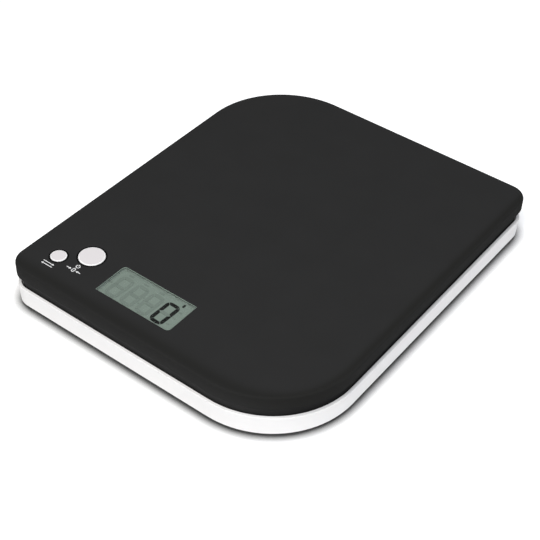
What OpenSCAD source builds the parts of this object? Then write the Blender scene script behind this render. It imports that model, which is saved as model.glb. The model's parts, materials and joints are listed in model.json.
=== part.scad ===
// Digital kitchen scale: a black platform on a central load cell over a white base.
// Frame: floor at z = 0, front (display side) at -Y, right at +X, origin under the middle.

/* [Body] */
// Width of the platform, left to right
body_w = 180; // [168:1:210]
// Depth of the platform, front to back
body_d = 217; // [205:1:250]
// Radius of the two large corners, front right and back left
big_corner_r = 50; // [40:1:56]
// Radius of the two small corners, front left and back right
small_corner_r = 10.5; // [9:0.5:14]

/* [Heights] */
// How far the rubber feet hold the base off the worktop
foot_stand = 1.5; // [1:0.1:3]
// Height of the white base
base_h = 11.4; // [11:0.1:14]
// Height of the gap between base and cover, where the neck shows
neck_h = 6.1; // [5.3:0.1:7]
// Height of the black cover
cover_h = 8.1; // [7.7:0.1:11]

/* [Walls and edges] */
// Wall of the cover's skirt
cover_wall = 2.2; // [1.8:0.1:2.6]
// Thickness of the cover's top
cover_top = 2; // [1.8:0.1:2.6]
// Radius of the cover's upper edge
cover_edge_r = 1.25; // [0.5:0.25:2.5]
// Radius of the cover's lower lip
cover_lip_r = 0.8; // [0.3:0.1:1.6]
// How far the base's rim stands back from the cover's edge
base_inset = 0.1; // [0:0.05:0.8]
// How much further back the foot of the base's wall stands
base_draft = 0.5; // [0.2:0.1:1]
// Wall of the base below its rim
base_wall = 2.2; // [1.8:0.1:2.6]
// Floor of the base
base_floor = 2; // [2:0.1:2.6]
// Radius of the base's lower edge
base_edge_r = 0.5; // [0.3:0.1:1.6]
// Width of the base's rim, the ledge that shows
rim_w = 1.65; // [1.2:0.05:2]
// Gap between the rim and the neck
neck_gap = 0.85; // [0.4:0.05:1.2]
// How far the neck dips into the base
neck_dip = 1.6; // [1:0.1:2]
// How far the neck's wall reaches up inside the cover
neck_rise = 2.5; // [2:0.1:4]
// Wall and floor of the platform frame
frame_wall = 1.8; // [1.4:0.1:2.4]
// Thickness of the ribs
rib_t = 1.5; // [1.2:0.1:2]

/* [Load cell] */
// Length of the bar, front to back
cell_l = 80; // [76:1:90]
// Width and height of the bar
cell_s = 12.7; // [12:0.1:13]
// Radius of the two holes of the bending window
cell_window_r = 4.9; // [4.4:0.1:5.1]
// Distance between those two holes
cell_window_pitch = 15; // [12:1:18]
// Gap under the bar's free end
cell_gap = 2; // [1.6:0.1:2.2]
// Distance from the bar's end to its first screw hole
cell_hole_end = 6; // [5:0.5:8]
// Distance between the two screw holes at an end
cell_hole_pitch = 14; // [12:0.5:15]
// Core radius of the load cell's screws
cell_screw_r = 1.95; // [1.5:0.05:2.2]
// Thickness of the steel plate over the free end
top_plate_t = 1.5; // [1.2:0.1:2]
// Thickness of the steel plate under the fixed end
base_plate_t = 1; // [0.8:0.1:1.2]
// How far the platform sinks before it meets its stops
platform_travel = 0.5; // [0.2:0.05:0.6]

/* [Controls] */
// Radius of the large button
big_button_r = 7.1; // [6:0.1:7.6]
// Radius of the small button
small_button_r = 4.4; // [3.5:0.05:4.9]
// Middle of the large button, from the platform's left and front edges
big_button_from = [31.3, 29.2];
// Middle of the small button, from the same edges
small_button_from = [18, 19];
// How far the buttons stand above the platform
button_proud = 0.5; // [0.3:0.05:1]
// Gap around a button
button_gap = 0.5; // [0.25:0.05:0.6]
// How far a button travels
button_travel = 0.5; // [0.3:0.05:0.6]
// Radius of the buttons' upper edge
button_edge_r = 0.8; // [0.3:0.05:1]

/* [Display] */
// Width of the window
window_w = 47; // [44:0.5:48]
// Depth of the window, front to back
window_d = 21.3; // [20:0.1:22]
// Middle of the window, from the platform's left and front edges
window_from = [72.45, 23.75];
// Radius of the window's two round corners
window_round_r = 2.2; // [1:0.1:4]
// Radius of the window's two sharp corners
window_sharp_r = 0.3; // [0.2:0.1:1]
// Height of the digits
digit_h = 15.8; // [12:0.1:16]
// Width of the digits
digit_w = 8.4; // [6:0.1:8.6]
// Distance from one digit to the next
digit_pitch = 9.85; // [9.4:0.05:10.4]
// Width of a segment's stroke
stroke = 2.05; // [1:0.05:2.2]
// Radius of the digits' outer corners
digit_corner_r = 2.9; // [0.5:0.1:3.4]
// Gap between the bars of a digit
bar_gap = 0.22; // [0.1:0.02:0.4]
// Lean of the digits to the right, in degrees
lean = 2; // [0:0.1:4]

/* [Battery] */
// Diameter of the coin cell
coin_d = 20; // [20:0.1:20.2]
// Thickness of the coin cell
coin_t = 3.2; // [2.5:0.1:3.2]
// Middle of the battery pocket, from the platform's left and front edges
battery_from = [45, 72.5];

/* [Fasteners] */
// Core radius of the screws that hold the frame
frame_screw_r = 1.2; // [1:0.05:1.4]
// Core radius of the screws that hold the board
board_screw_r = 0.85; // [0.7:0.05:1]

/* [Hidden] */
$fn = 96;
eps = 0.01;
fit = 0.05; // radial clearance of a screw's core in its hole
seat = 0.3; // clearance between pieces of two bodies
clear = 0.2; // clearance between pieces of one body

// Heights above the worktop
base_z = foot_stand;
floor_z = base_z + base_floor;
rim_z = base_z + base_h;
cover_z = rim_z + neck_h;
top_z = cover_z + cover_h;
under_z = top_z - cover_top;
frame_z = rim_z - neck_dip;
tray_z = frame_z + frame_wall;
neck_top_z = cover_z + neck_rise;
neck_inset = max(base_inset + rim_w + neck_gap, cover_wall + clear);
base_tilt = atan(base_draft / base_h); // tilt of the base's wall, in degrees
edge_band = 6; // depth of the swept edge band, less than the small corner's radius
band_lap = 0.5; // how far the flat slab inside the edge band reaches into it
rim_edge_r = 0.3;
spare = 1; // how far a cutter or a blind hole runs past what it has to clear

// Places counted from the platform's front left corner
front_left = [-body_w / 2, -body_d / 2];
big_button_at = front_left + big_button_from;
small_button_at = front_left + small_button_from;
window_at = front_left + window_from;
battery_at = front_left + battery_from;

// Load cell: its back end is fixed to the base, and its front end carries the platform
cell_z = floor_z + cell_gap;
cell_top_z = cell_z + cell_s;
bridge_z = cell_top_z + top_plate_t;
bridge_top_z = bridge_z + frame_wall;
fixed_end_y = cell_l / 2;
fixed_holes = [for (i = [0, 1]) fixed_end_y - cell_hole_end - i * cell_hole_pitch];
free_holes = [for (y = fixed_holes) -y];
window_lobe_y = cell_window_pitch / 2;
window_slot = 3; // height of the slot that joins the two holes
gauge_size = [4, 6];
gauge_t = 0.1;
coat_size = [10, cell_window_pitch + 11];
coat_t = 0.7;
plate_gap = 0.6; // from the coating to the plate beside it
base_plate_w = 26;
top_plate_w = 24;
plate_front_y = coat_size.y / 2 + plate_gap;
pedestal_margin = 2;
cell_head_r = 3.8;
cell_head_h = 1.9;
cell_screw_hold = 8; // how far the screws reach into the bar
bridge_room = [7, 3.7]; // free space beside the bar and past its ends
bridge_size = [cell_s + 2 * (bridge_room.x + frame_wall), cell_l + 2 * (bridge_room.y + frame_wall)];

// The load cell's leads and their socket on the board
lead_d = 1;
lead_pitch = 1.1;
lead_start_x = cell_s / 2 + 1.6;
lead_x = [for (i = [0:3]) lead_start_x + i * lead_pitch];
socket_size = [9, 5, 3.4];
socket_at = [(lead_x[0] + lead_x[3]) / 2, window_at.y + 10.35];

// Ribs
base_rib_h = 2.5;
base_rib_end = 20; // from the body's edge to a rib's end
base_rib_x = body_w / 6;
base_rib_y = body_d / 2 - 46.5;
side_rib_y = 10;
side_rib_gap = 40; // free space between the two halves of the rib that the load cell crosses
frame_rib_h = 4;
frame_rib_y = [-10, 20];
frame_rib_x = 9;
cover_rib_x = [-60, -34, 34, 60];
cover_rib_end = [25, 38]; // from the body's sides and back to the ribs' ends

// Board and display stack, from the window down
lens_body_t = 0.6;
lens_flange_t = 0.3;
lens_flange_w = 1.5;
tape_t = 0.1;
lens_seat_z = top_z - lens_body_t;
lens_flange_z = lens_seat_z - tape_t - lens_flange_t;
glass_t = 0.55;
layer_t = 0.1;
reflector_t = 0.15;
glass_overhang = [0.5, 1.1]; // how far the front glass reaches past the lens's flange
glass_size = [
    window_w + 2 * (lens_flange_w + glass_overhang.x), window_d + 2 * (lens_flange_w + glass_overhang.y)
];
glass_ledge = 2.5;
front_glass_z = lens_flange_z - glass_t;
layer_z = front_glass_z - layer_t;
rear_glass_z = layer_z - glass_t;
reflector_z = rear_glass_z - reflector_t;
rear_size = [glass_size.x, glass_size.y - 2 * glass_ledge];
holder_wall = 1.3;
holder_size = [for (s = glass_size) s + 2 * (holder_wall + clear)];
holder_recess_z = lens_flange_z + clear / 2; // ceiling of the cover's recess over the holder
board_drop = 6.1; // from the underside of the cover to the board
board_t = 1.6;
board_z = under_z - board_drop - board_t;
board_top_z = board_z + board_t;
board_boss_r = 2.6;
board_hole_in = [2.8, 3.5]; // from the board's edges to its screws
board_left = small_button_at.x - 8.3;
board_front = window_at.y - holder_size.y / 2 - 1.4;
board_back = window_at.y + holder_size.y / 2 + 4.1;
board_right = max(
    window_at.x + holder_size.x / 2 + board_hole_in.x + board_boss_r + 2.1,
    socket_at.x + socket_size.x / 2 + 2.9
);
board_screw_at = [
    [board_left + 3.5, board_back - board_hole_in.y],
    [board_right - board_hole_in.x, board_back - board_hole_in.y],
    [board_right - board_hole_in.x, board_front + board_hole_in.y],
    [window_at.x - holder_size.x / 2 - 6, board_front + board_hole_in.y]
];
board_screw_l = 4; // how far the board's screws reach into their bosses
board_head_r = 1.7;
board_head_h = 1.1;
strip_w = 1.8;
strip_y = glass_size.y / 2 - glass_ledge / 2;

// Small parts on the board's underside
chip_at = window_at + [-12.5, 0.85];
resin_r = 8;
resin_h = 2;
small_part = [2, 1.25, 0.9];
small_pitch = 4;
capacitor_at = window_at + [5.5, -5.15];
resistor_at = window_at + [-38.5, 8.85];
resistor_h = 0.6;
crystal_at = window_at + [13.5, 6.85];
crystal_r = 1.1;
crystal_l = 6;

// Switches and buttons
switch_s = 6;
switch_h = 3.5;
plunger_r = 1.7;
plunger_proud = 0.8;
plunger_depth = 1.5; // how far the plunger reaches down into the switch
plunger_top_z = board_top_z + switch_h + plunger_proud;
flange_w = 1.4;
flange_t = 0.7;
flange_top_z = under_z - clear;
stem_r = 1.6;

// Battery pocket and its cap, which has a ring that two lugs stand out of
pocket_r = coin_d / 2 + 0.4;
pocket_wall = 1.6;
cap_t = 1;
cap_gap = 0.3;
ring_inner_r = coin_d / 2 + 0.2;
ring_outer_r = ring_inner_r + 1.3;
lug_r = ring_outer_r + 1.5;
lug_h = 1;
lug_z = floor_z + 0.1;
lug_top_z = lug_z + lug_h;
lug_turn = 40; // turn that frees the lugs, in degrees
lug_angle = 24;
cap_r = lug_r + 1.4;
coin_z = base_z + cap_t + seat;
coin_top_z = coin_z + coin_t;
roof_z = coin_top_z + 1.1;
roof_t = 1.4;
contact_t = 0.3;
contact_w = [4, 2.8];
contact_x = [battery_at.x, battery_at.x + 4];
tail_y = battery_at.y - coin_d / 2 + 1.8;
tail_size = [1, 0.4];
tail_top_z = roof_z + roof_t + 1.1;

// Places that repeat
boss_inset = 12;
boss_r = 3.4;
side_x = body_w / 2 - boss_inset;
end_y = body_d / 2 - boss_inset;
frame_screw_at = [
    [-side_x, -30], [-side_x, 45], [side_x, -30], [side_x, 45], [0, end_y], [side_x - 43, -end_y]
];
frame_screw_l = 7; // how far the frame's screws reach into their bosses
frame_head_r = 2.9;
frame_head_h = 1.7;
foot_r = 7;
foot_t = 2.1;
foot_fit = 0.15;
foot_bevel = 0.5; // chamfer of the foot's lower edge
foot_groove = [3.6, 4.6, 0.5]; // inner and outer radius and depth of the ring in its face
foot_in = [22, 24]; // from the body's edges to the feet
foot_x = body_w / 2 - foot_in.x;
foot_y = body_d / 2 - foot_in.y;
stop_r = 3;
stop_gap = 0.1; // left under the frame when the platform is all the way down
stop_in = [30, 42];
stop_at = [for (x = [-1, 1], y = [-1, 1]) [x * (body_w / 2 - stop_in.x), y * (body_d / 2 - stop_in.y)]];

// Leads: each lies in one upright plane, as points of [y, z] from lower to upper end
strain_block = [lead_x[3] + lead_d - cell_s / 2, 12, 3.2]; // glue over the leads' soldered ends
strain_block_y = -2;
strain_block_drop = 0.4;
lead_out_z = cell_top_z - strain_block_drop - strain_block.z / 2;
socket_lead_z = board_z - socket_size.z / 2;
socket_back_y = socket_at.y + socket_size.y / 2;
lead_sag = 1;
cell_lead_path = [
    [strain_block_y - strain_block.y / 2, lead_out_z], [-26, lead_out_z],
    [socket_back_y + 24, lead_out_z], [socket_back_y + 16, socket_lead_z - lead_sag],
    [socket_back_y + 9, socket_lead_z - 0.8 * lead_sag], [socket_back_y + 4, socket_lead_z],
    [socket_back_y, socket_lead_z]
];
board_land_y = board_back - 4;
battery_lead_z = roof_z + roof_t + lead_d / 2 + eps;
battery_lead_y = tail_y - tail_size.y / 2;
lead_hole_at = [(contact_x[0] + contact_x[1]) / 2, battery_lead_y - pocket_r - 3.6];
lead_hole_size = [9, 9];
battery_lead_path = [
    [battery_lead_y, battery_lead_z], [battery_lead_y - 5, battery_lead_z],
    [lead_hole_at.y + 3, frame_z - 1.6], [lead_hole_at.y, tray_z - 0.6],
    [lead_hole_at.y - 5, tray_z + 1.6], [board_land_y + 0.9, board_z - 2],
    [board_land_y, board_z - 0.9], [board_land_y, board_z]
];

// Corner centres of a leaf outline, each with its radius and the side that its arc starts on
function leaf_corners(w, d, big, small) = [
    [[w / 2 - big, -d / 2 + big], big, -90],
    [[w / 2 - small, d / 2 - small], small, 0],
    [[-w / 2 + big, d / 2 - big], big, 90],
    [[-w / 2 + small, -d / 2 + small], small, 180]
];

// Flat leaf outline: front right and back left corners large, the other two small
module leaf(w, d, big, small) {
    corners = leaf_corners(w, d, big, small);
    polygon([for (c = corners, a = [c[2], c[2] + 90]) c[0] + c[1] * [cos(a), sin(a)]]);
    for (c = corners) translate(c[0]) circle(r = c[1]);
}

// The body's own leaf outline, drawn in by an inset
module body_leaf(inset) {
    leaf(body_w - 2 * inset, body_d - 2 * inset, big_corner_r - inset, small_corner_r - inset);
}

// Sweeps an edge profile round the body's outline: profile x = 0 is the outline, inside is negative
module along_edge() {
    corners = leaf_corners(body_w, body_d, big_corner_r, small_corner_r);
    for (i = [0:3]) {
        here = corners[i];
        next = corners[(i + 1) % 4];
        turn = here[2];
        translate(here[0]) rotate(turn) rotate_extrude(angle = 90) translate([here[1], 0]) children();
        start = here[0] + here[1] * [cos(turn + 90), sin(turn + 90)];
        end = next[0] + next[1] * [cos(turn + 90), sin(turn + 90)];
        run = norm(end - start);
        translate(end) rotate([90, 0, turn + 90]) linear_extrude(run) children();
    }
}

// Cutter that rounds an outer edge: the arc's centre is the origin and the edge lies at +x, +y.
// The face on the +x side may tilt by some degrees, back to the origin at the edge.
module round_cut(r, tilt = 0) {
    reach = r + 0.2;
    corner = [(1 - sin(tilt)) / cos(tilt), 1];
    difference() {
        polygon([[0, 0], reach * [cos(tilt), sin(tilt)], reach * corner, [0, reach]]);
        circle(r = r);
    }
}

// How far that arc's centre lies from the edge, along x and along y
function round_at(r, tilt = 0) = r * [(1 - sin(tilt)) / cos(tilt), 1];

module slab(size, at, z, t) {
    translate([at.x - size.x / 2, at.y - size.y / 2, z]) cube([size.x, size.y, t]);
}

module disc(at, r, z, t) {
    translate([at.x, at.y, z]) cylinder(r = r, h = t);
}

// Screw with a flat round head: the shank's tip points up or down from the head
module screw(at, r, shank, head_z, up, big_r, big_h) {
    translate([at.x, at.y, head_z]) mirror([0, 0, up ? 0 : 1]) {
        cylinder(r = r, h = shank);
        translate([0, 0, -big_h]) difference() {
            union() {
                cylinder(r1 = big_r - 0.5, r2 = big_r, h = 0.5);
                translate([0, 0, 0.5]) cylinder(r = big_r, h = big_h - 0.5);
            }
            for (a = [0, 90]) rotate(a) translate([-big_r * 0.55, -0.35, -eps])
                cube([big_r * 1.1, 0.7, big_h * 0.5]);
        }
    }
}

/* Base */

module base_profile() {
    foot_edge = [-base_inset - base_draft, base_z];
    rim_edge = [-base_inset, rim_z];
    difference() {
        polygon([[-edge_band, base_z], foot_edge, rim_edge, [-edge_band, rim_z]]);
        translate([-edge_band - eps, floor_z])
            square([edge_band + eps - base_inset - base_wall, base_h]);
        translate([-edge_band - eps, frame_z - spare])
            square([edge_band + eps - base_inset - rim_w, base_h]);
        translate(foot_edge) mirror([0, 1]) translate(-round_at(base_edge_r, base_tilt))
            round_cut(base_edge_r, base_tilt);
        translate(rim_edge - round_at(rim_edge_r, -base_tilt)) round_cut(rim_edge_r, -base_tilt);
    }
}

module base_shell() {
    color("white") difference() {
        union() {
            along_edge() base_profile();
            translate([0, 0, base_z]) linear_extrude(base_floor) body_leaf(edge_band - band_lap);
            base_pedestal();
            base_ribs();
            for (p = stop_at) disc(p, stop_r, base_z, frame_z - platform_travel - stop_gap - base_z);
            battery_housing();
        }
        for (x = [-1, 1], y = [-1, 1])
            disc([x * foot_x, y * foot_y], foot_r + foot_fit, base_z - eps, foot_t - foot_stand + eps);
        for (y = fixed_holes) {
            disc([0, y], cell_screw_r + fit, base_z, cell_gap + base_floor);
            disc([0, y], cell_head_r + clear, base_z - eps, cell_head_h + eps);
        }
        battery_opening();
    }
}

// Slab that runs from front_y to back_y
module run(w, front_y, back_y, z, t) {
    slab([w, back_y - front_y], [0, (front_y + back_y) / 2], z, t);
}

// Raised pad under the load cell's fixed end
module base_pedestal() {
    run(base_plate_w + 2 * pedestal_margin, plate_front_y - pedestal_margin,
        fixed_end_y + 1 + pedestal_margin, base_z, cell_z - base_plate_t - base_z);
}

module base_ribs() {
    rib_h = base_floor + base_rib_h;
    long = [rib_t, body_d - 2 * base_rib_end];
    wide = [body_w - 2 * base_rib_end, rib_t];
    half = [(wide.x - side_rib_gap) / 2, rib_t];
    for (side = [-1, 1]) {
        slab(long, [side * base_rib_x, 0], base_z, rib_h);
        slab(wide, [0, side * base_rib_y], base_z, rib_h);
        slab(half, [side * (side_rib_gap + half.x) / 2, side_rib_y], base_z, rib_h);
    }
}

// Round pocket with a roof over the coin cell
module battery_housing() {
    disc(battery_at, cap_r + cap_gap + 1.2, base_z, lug_top_z + 1.2 - base_z);
    disc(battery_at, pocket_r + pocket_wall, base_z, roof_z + roof_t - base_z);
}

module battery_opening() {
    groove_top_z = lug_top_z + clear;
    disc(battery_at, cap_r + cap_gap, base_z - eps, cap_t + 0.1 + eps);
    disc(battery_at, ring_outer_r + cap_gap, base_z, groove_top_z - base_z);
    disc(battery_at, pocket_r, base_z, roof_z - base_z);
    // groove that the cap's lugs turn in, and the notches that they pass through
    disc(battery_at, lug_r + cap_gap, floor_z, groove_top_z - floor_z);
    for (a = [0, 180]) translate([battery_at.x, battery_at.y, base_z]) rotate(a + lug_turn)
        lug_sector(lug_r + cap_gap, base_floor + eps, lug_angle + 6);
    // room for the side contact, and slots for the tails of the two contacts
    slab([contact_w[0] + 2 * clear, 2 * (contact_t + 2.5 * clear)],
        [contact_x[0], battery_at.y - coin_d / 2], coin_z, roof_z - coin_z);
    for (x = contact_x)
        slab([for (s = tail_size) s + 2 * clear], [x, tail_y], roof_z - spare, roof_t + 2 * spare);
}

module lug_sector(r, h, angle) {
    rotate(-angle / 2) rotate_extrude(angle = angle) square([r, h]);
}

module foot(at) {
    color("dimgray") translate([at.x, at.y, 0]) difference() {
        union() {
            cylinder(r1 = foot_r - foot_bevel, r2 = foot_r, h = foot_bevel);
            translate([0, 0, foot_bevel]) cylinder(r = foot_r, h = foot_t - foot_bevel);
        }
        difference() {
            translate([0, 0, -eps]) cylinder(r = foot_groove[1], h = foot_groove[2] + eps);
            translate([0, 0, -spare]) cylinder(r = foot_groove[0], h = foot_groove[2] + 2 * spare);
        }
    }
}

/* Load cell */

module cell_base_plate() {
    color("silver") difference() {
        run(base_plate_w, plate_front_y, fixed_end_y + 1, cell_z - base_plate_t, base_plate_t);
        for (y = fixed_holes) disc([0, y], cell_screw_r + fit, cell_z - 2 * base_plate_t, 3 * base_plate_t);
    }
}

module load_cell() {
    color("gainsboro") difference() {
        slab([cell_s, cell_l], [0, 0], cell_z, cell_s);
        for (y = [-window_lobe_y, window_lobe_y]) translate([-cell_s, y, cell_z + cell_s / 2])
            rotate([0, 90, 0]) cylinder(r = cell_window_r, h = 2 * cell_s);
        slab([2 * cell_s, cell_window_pitch], [0, 0], cell_z + (cell_s - window_slot) / 2, window_slot);
        for (y = concat(fixed_holes, free_holes)) disc([0, y], cell_screw_r + fit, cell_z - 1, cell_s + 2);
    }
}

// One foil gauge over each thin place of the bar, above and below
module strain_gauges() {
    color("peru") for (y = [-window_lobe_y, window_lobe_y], z = [cell_z - gauge_t, cell_top_z])
        slab(gauge_size, [0, y], z, gauge_t);
}

// Rubbery coating over the gauges, and the block of glue that holds the leads' ends
module gauge_coating() {
    color("white") {
        difference() {
            for (z = [cell_z - coat_t, cell_top_z]) slab(coat_size, [0, 0], z, coat_t);
            strain_gauges();
        }
        slab(strain_block, [(cell_s + strain_block.x) / 2, strain_block_y],
            cell_top_z - strain_block_drop - strain_block.z, strain_block.z);
    }
}

module cell_base_screws() {
    head_z = base_z + cell_head_h;
    color("silver") for (y = fixed_holes)
        screw([0, y], cell_screw_r, cell_z + cell_screw_hold - head_z,
            head_z, true, cell_head_r, cell_head_h);
}

module cell_top_plate() {
    color("silver") difference() {
        run(top_plate_w, 0.5 - fixed_end_y, -plate_front_y, cell_top_z, top_plate_t);
        for (y = free_holes) disc([0, y], cell_screw_r + fit, cell_top_z - 1, top_plate_t + 2);
    }
}

module cell_top_screws() {
    shank = bridge_top_z - cell_top_z + cell_screw_hold;
    color("silver") for (y = free_holes)
        screw([0, y], cell_screw_r, shank, bridge_top_z, false, cell_head_r, cell_head_h);
}

// Ring of a tube round one point of a path in the plane x = const
function ring(p, dir, r, sides) = [for (i = [0:sides - 1]) let (a = 360 * i / sides)
    [p.x + r * cos(a), p.y - r * sin(a) * dir.y, p.z + r * sin(a) * dir.x]];
function unit(v) = v / norm(v);
function heading(path, i) = unit(
    (i > 0 ? unit(path[i] - path[i - 1]) : [0, 0])
    + (i < len(path) - 1 ? unit(path[i + 1] - path[i]) : [0, 0])
);
// A path with each inner corner replaced by two points, so that bends run smoothly
function eased(path) = [
    path[0],
    for (i = [1:len(path) - 2]) each [
        path[i] * 0.75 + path[i - 1] * 0.25,
        path[i] * 0.75 + path[i + 1] * 0.25
    ],
    path[len(path) - 1]
];

// Insulated wire along [y, z] points in the upright plane at x
module lead(path, x, sides = 8) {
    route = eased(path);
    n = len(route);
    points = [for (i = [0:n - 1])
        each ring([x, route[i].x, route[i].y], heading(route, i), lead_d / 2, sides)];
    sides_faces = [for (i = [0:n - 2], j = [0:sides - 1])
        let (k = (j + 1) % sides, a = i * sides, b = a + sides)
        each [[a + j, a + k, b + k], [a + j, b + k, b + j]]];
    ends = [[for (j = [sides - 1:-1:0]) j], [for (j = [0:sides - 1]) (n - 1) * sides + j]];
    polyhedron(points, concat(sides_faces, ends));
}

module cell_leads() {
    colors = ["red", "black", "green", "white"];
    for (i = [0:3]) color(colors[i]) lead(cell_lead_path, lead_x[i]);
}

module battery_leads() {
    color("red") lead(battery_lead_path, contact_x[0]);
    color("black") lead(battery_lead_path, contact_x[1]);
}

/* Battery */

module coin_cell() {
    color("silver") translate([battery_at.x, battery_at.y, coin_z]) {
        cylinder(r = coin_d / 2, h = coin_t - 0.4);
        translate([0, 0, coin_t - 0.4]) cylinder(r = coin_d / 2 - 1.2, h = 0.4);
    }
}

// Tail that a contact puts up through the roof, for its lead
module contact_tail(i) {
    slab(tail_size, [contact_x[i], tail_y], roof_z - contact_t, tail_top_z - roof_z + contact_t);
}

// Leaf that bears on the side of the can, hung from a strip on the roof
module positive_contact() {
    front_y = battery_at.y - coin_d / 2 - contact_t;
    strip_l = tail_y + 1 - front_y;
    color("gold") {
        translate([contact_x[0] - contact_w[0] / 2, front_y, lug_top_z + seat])
            cube([contact_w[0], contact_t, roof_z - lug_top_z - seat]);
        translate([contact_x[0] - contact_w[0] / 2, front_y, roof_z - contact_t])
            cube([contact_w[0], strip_l, contact_t]);
        contact_tail(0);
    }
}

// Strip on the roof with a tongue that bears on the cell's inner face
module negative_contact() {
    drop = roof_z - contact_t - coin_top_z;
    start_y = tail_y - tail_size.y;
    bend_y = battery_at.y + 1;
    color("gold") {
        translate([contact_x[1] - contact_w[1] / 2, start_y, roof_z - contact_t])
            cube([contact_w[1], bend_y - start_y, contact_t]);
        translate([contact_x[1] - contact_w[1] / 2, bend_y - eps, coin_top_z]) rotate([90, 0, 90])
            linear_extrude(contact_w[1]) polygon([
                [0, drop], [0, drop + contact_t], [4, contact_t], [5, contact_t], [5, 0], [3.6, 0]
            ]);
        contact_tail(1);
    }
}

module battery_cap() {
    color("white") translate([battery_at.x, battery_at.y, 0]) difference() {
        union() {
            translate([0, 0, base_z]) cylinder(r = cap_r, h = cap_t);
            translate([0, 0, base_z]) cylinder(r = ring_outer_r, h = lug_top_z - base_z);
            for (a = [0, 180]) translate([0, 0, lug_z]) rotate(a) lug_sector(lug_r, lug_h, lug_angle);
        }
        translate([0, 0, base_z + cap_t]) cylinder(r = ring_inner_r, h = lug_top_z);
        // slot for a coin's edge
        translate([-8, -0.9, base_z - eps]) cube([16, 1.8, 0.5]);
    }
}

/* Platform */

module cover_profile() {
    difference() {
        translate([-edge_band, cover_z]) square([edge_band, cover_h]);
        translate([-edge_band - eps, cover_z - eps])
            square([edge_band + eps - cover_wall, cover_h - cover_top + eps]);
        translate([-cover_edge_r, top_z - cover_edge_r]) round_cut(cover_edge_r);
        translate([-cover_lip_r, cover_z + cover_lip_r]) mirror([0, 1]) round_cut(cover_lip_r);
    }
}

module window_leaf(grow) {
    leaf(window_w + 2 * grow, window_d + 2 * grow, window_sharp_r + grow, window_round_r + grow);
}

// The window's leaf is the body's leaf mirrored: its round corners are front right and back left
module window_prism(grow, z, t) {
    translate([window_at.x, window_at.y, z]) mirror([1, 0, 0]) linear_extrude(t) window_leaf(grow);
}

module platform_cover() {
    color("#2f2f2f") difference() {
        union() {
            along_edge() cover_profile();
            translate([0, 0, under_z]) linear_extrude(cover_top) body_leaf(edge_band - band_lap);
            for (p = frame_screw_at) disc(p, boss_r, tray_z, under_z - tray_z + eps);
            for (p = board_screw_at) disc(p, board_boss_r, board_top_z, under_z - board_top_z + eps);
            cover_ribs();
        }
        window_prism(clear / 2, lens_seat_z - spare, lens_body_t + 2 * spare);
        window_prism(lens_flange_w + clear, under_z - spare, lens_seat_z - under_z + spare);
        slab([for (s = holder_size) s + 2 * clear], window_at, under_z - spare,
            holder_recess_z - under_z + spare);
        disc(big_button_at, big_button_r + button_gap, under_z - spare, cover_top + 2 * spare);
        disc(small_button_at, small_button_r + button_gap, under_z - spare, cover_top + 2 * spare);
        for (p = frame_screw_at)
            disc(p, frame_screw_r + fit, tray_z - spare, frame_screw_l + 2 * spare);
        for (p = board_screw_at)
            disc(p, board_screw_r + fit, board_top_z - eps, board_screw_l + spare / 2 + eps);
    }
}

module cover_ribs() {
    rib_h = under_z - bridge_top_z - cell_head_h - spare / 2;
    front = board_back + 19.5;
    back = body_d / 2 - cover_rib_end.y;
    wide = [body_w - 2 * cover_rib_end.x, rib_t];
    for (x = cover_rib_x) slab([rib_t, back - front], [x, (front + back) / 2], under_z - rib_h, rib_h + eps);
    for (i = [0:2]) slab(wide, [0, front + 6.5 + i * (back - front - 13) / 2], under_z - rib_h, rib_h + eps);
}

module frame_profile() {
    difference() {
        translate([-edge_band, frame_z]) square([edge_band - neck_inset, neck_top_z - frame_z]);
        translate([-edge_band - eps, tray_z])
            square([edge_band + eps - neck_inset - frame_wall, neck_top_z]);
    }
}

// Tray with a raised bridge that the load cell's free end carries
module platform_frame() {
    color("#262626") difference() {
        union() {
            along_edge() frame_profile();
            translate([0, 0, frame_z]) linear_extrude(frame_wall) body_leaf(edge_band - band_lap);
            slab(bridge_size, [0, 0], frame_z, bridge_top_z - frame_z);
            frame_ribs();
        }
        slab([for (s = bridge_size) s - 2 * frame_wall], [0, 0], frame_z - 1, bridge_z - frame_z + 1);
        for (y = free_holes) disc([0, y], cell_screw_r + 0.2, bridge_z - 1, frame_wall + 2);
        for (p = frame_screw_at) disc(p, frame_screw_r + 0.2, frame_z - 1, frame_wall + 2);
        slab(lead_hole_size, lead_hole_at, frame_z - 1, frame_wall + 2);
        // notch in the bridge's front wall for the load cell's leads
        slab([4 * lead_pitch + 0.8, 3 * frame_wall], [(lead_x[0] + lead_x[3]) / 2, -bridge_size.y / 2],
            lead_out_z - 2.5, 4);
    }
}

module frame_ribs() {
    h = frame_wall + frame_rib_h;
    side_reach = (body_w - bridge_size.x) / 2 - neck_inset - frame_wall / 2;
    for (side = [-1, 1], y = frame_rib_y)
        slab([side_reach, rib_t], [side * (bridge_size.x + side_reach) / 2, y], frame_z, h);
    back_reach = (body_d - bridge_size.y) / 2 - neck_inset - frame_wall / 2;
    for (side = [-1, 1])
        slab([rib_t, back_reach], [side * frame_rib_x, (bridge_size.y + back_reach) / 2], frame_z, h);
}

module frame_screws() {
    color("silver") for (p = frame_screw_at)
        screw(p, frame_screw_r, frame_wall + frame_screw_l, frame_z, true, frame_head_r, frame_head_h);
}

/* Display */

module display_lens() {
    color("#9fb0a8", 0.4) {
        window_prism(0, lens_flange_z + lens_flange_t, top_z - lens_flange_z - lens_flange_t);
        window_prism(lens_flange_w, lens_flange_z, lens_flange_t);
    }
}

module lens_tape() {
    color("#202020") difference() {
        window_prism(lens_flange_w, lens_seat_z - tape_t, tape_t);
        window_prism(0.15, lens_seat_z - 1, 2);
    }
}

module lcd_front_glass() {
    color("#c8d4ce", 0.4) slab(glass_size, window_at, front_glass_z, glass_t);
}

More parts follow.
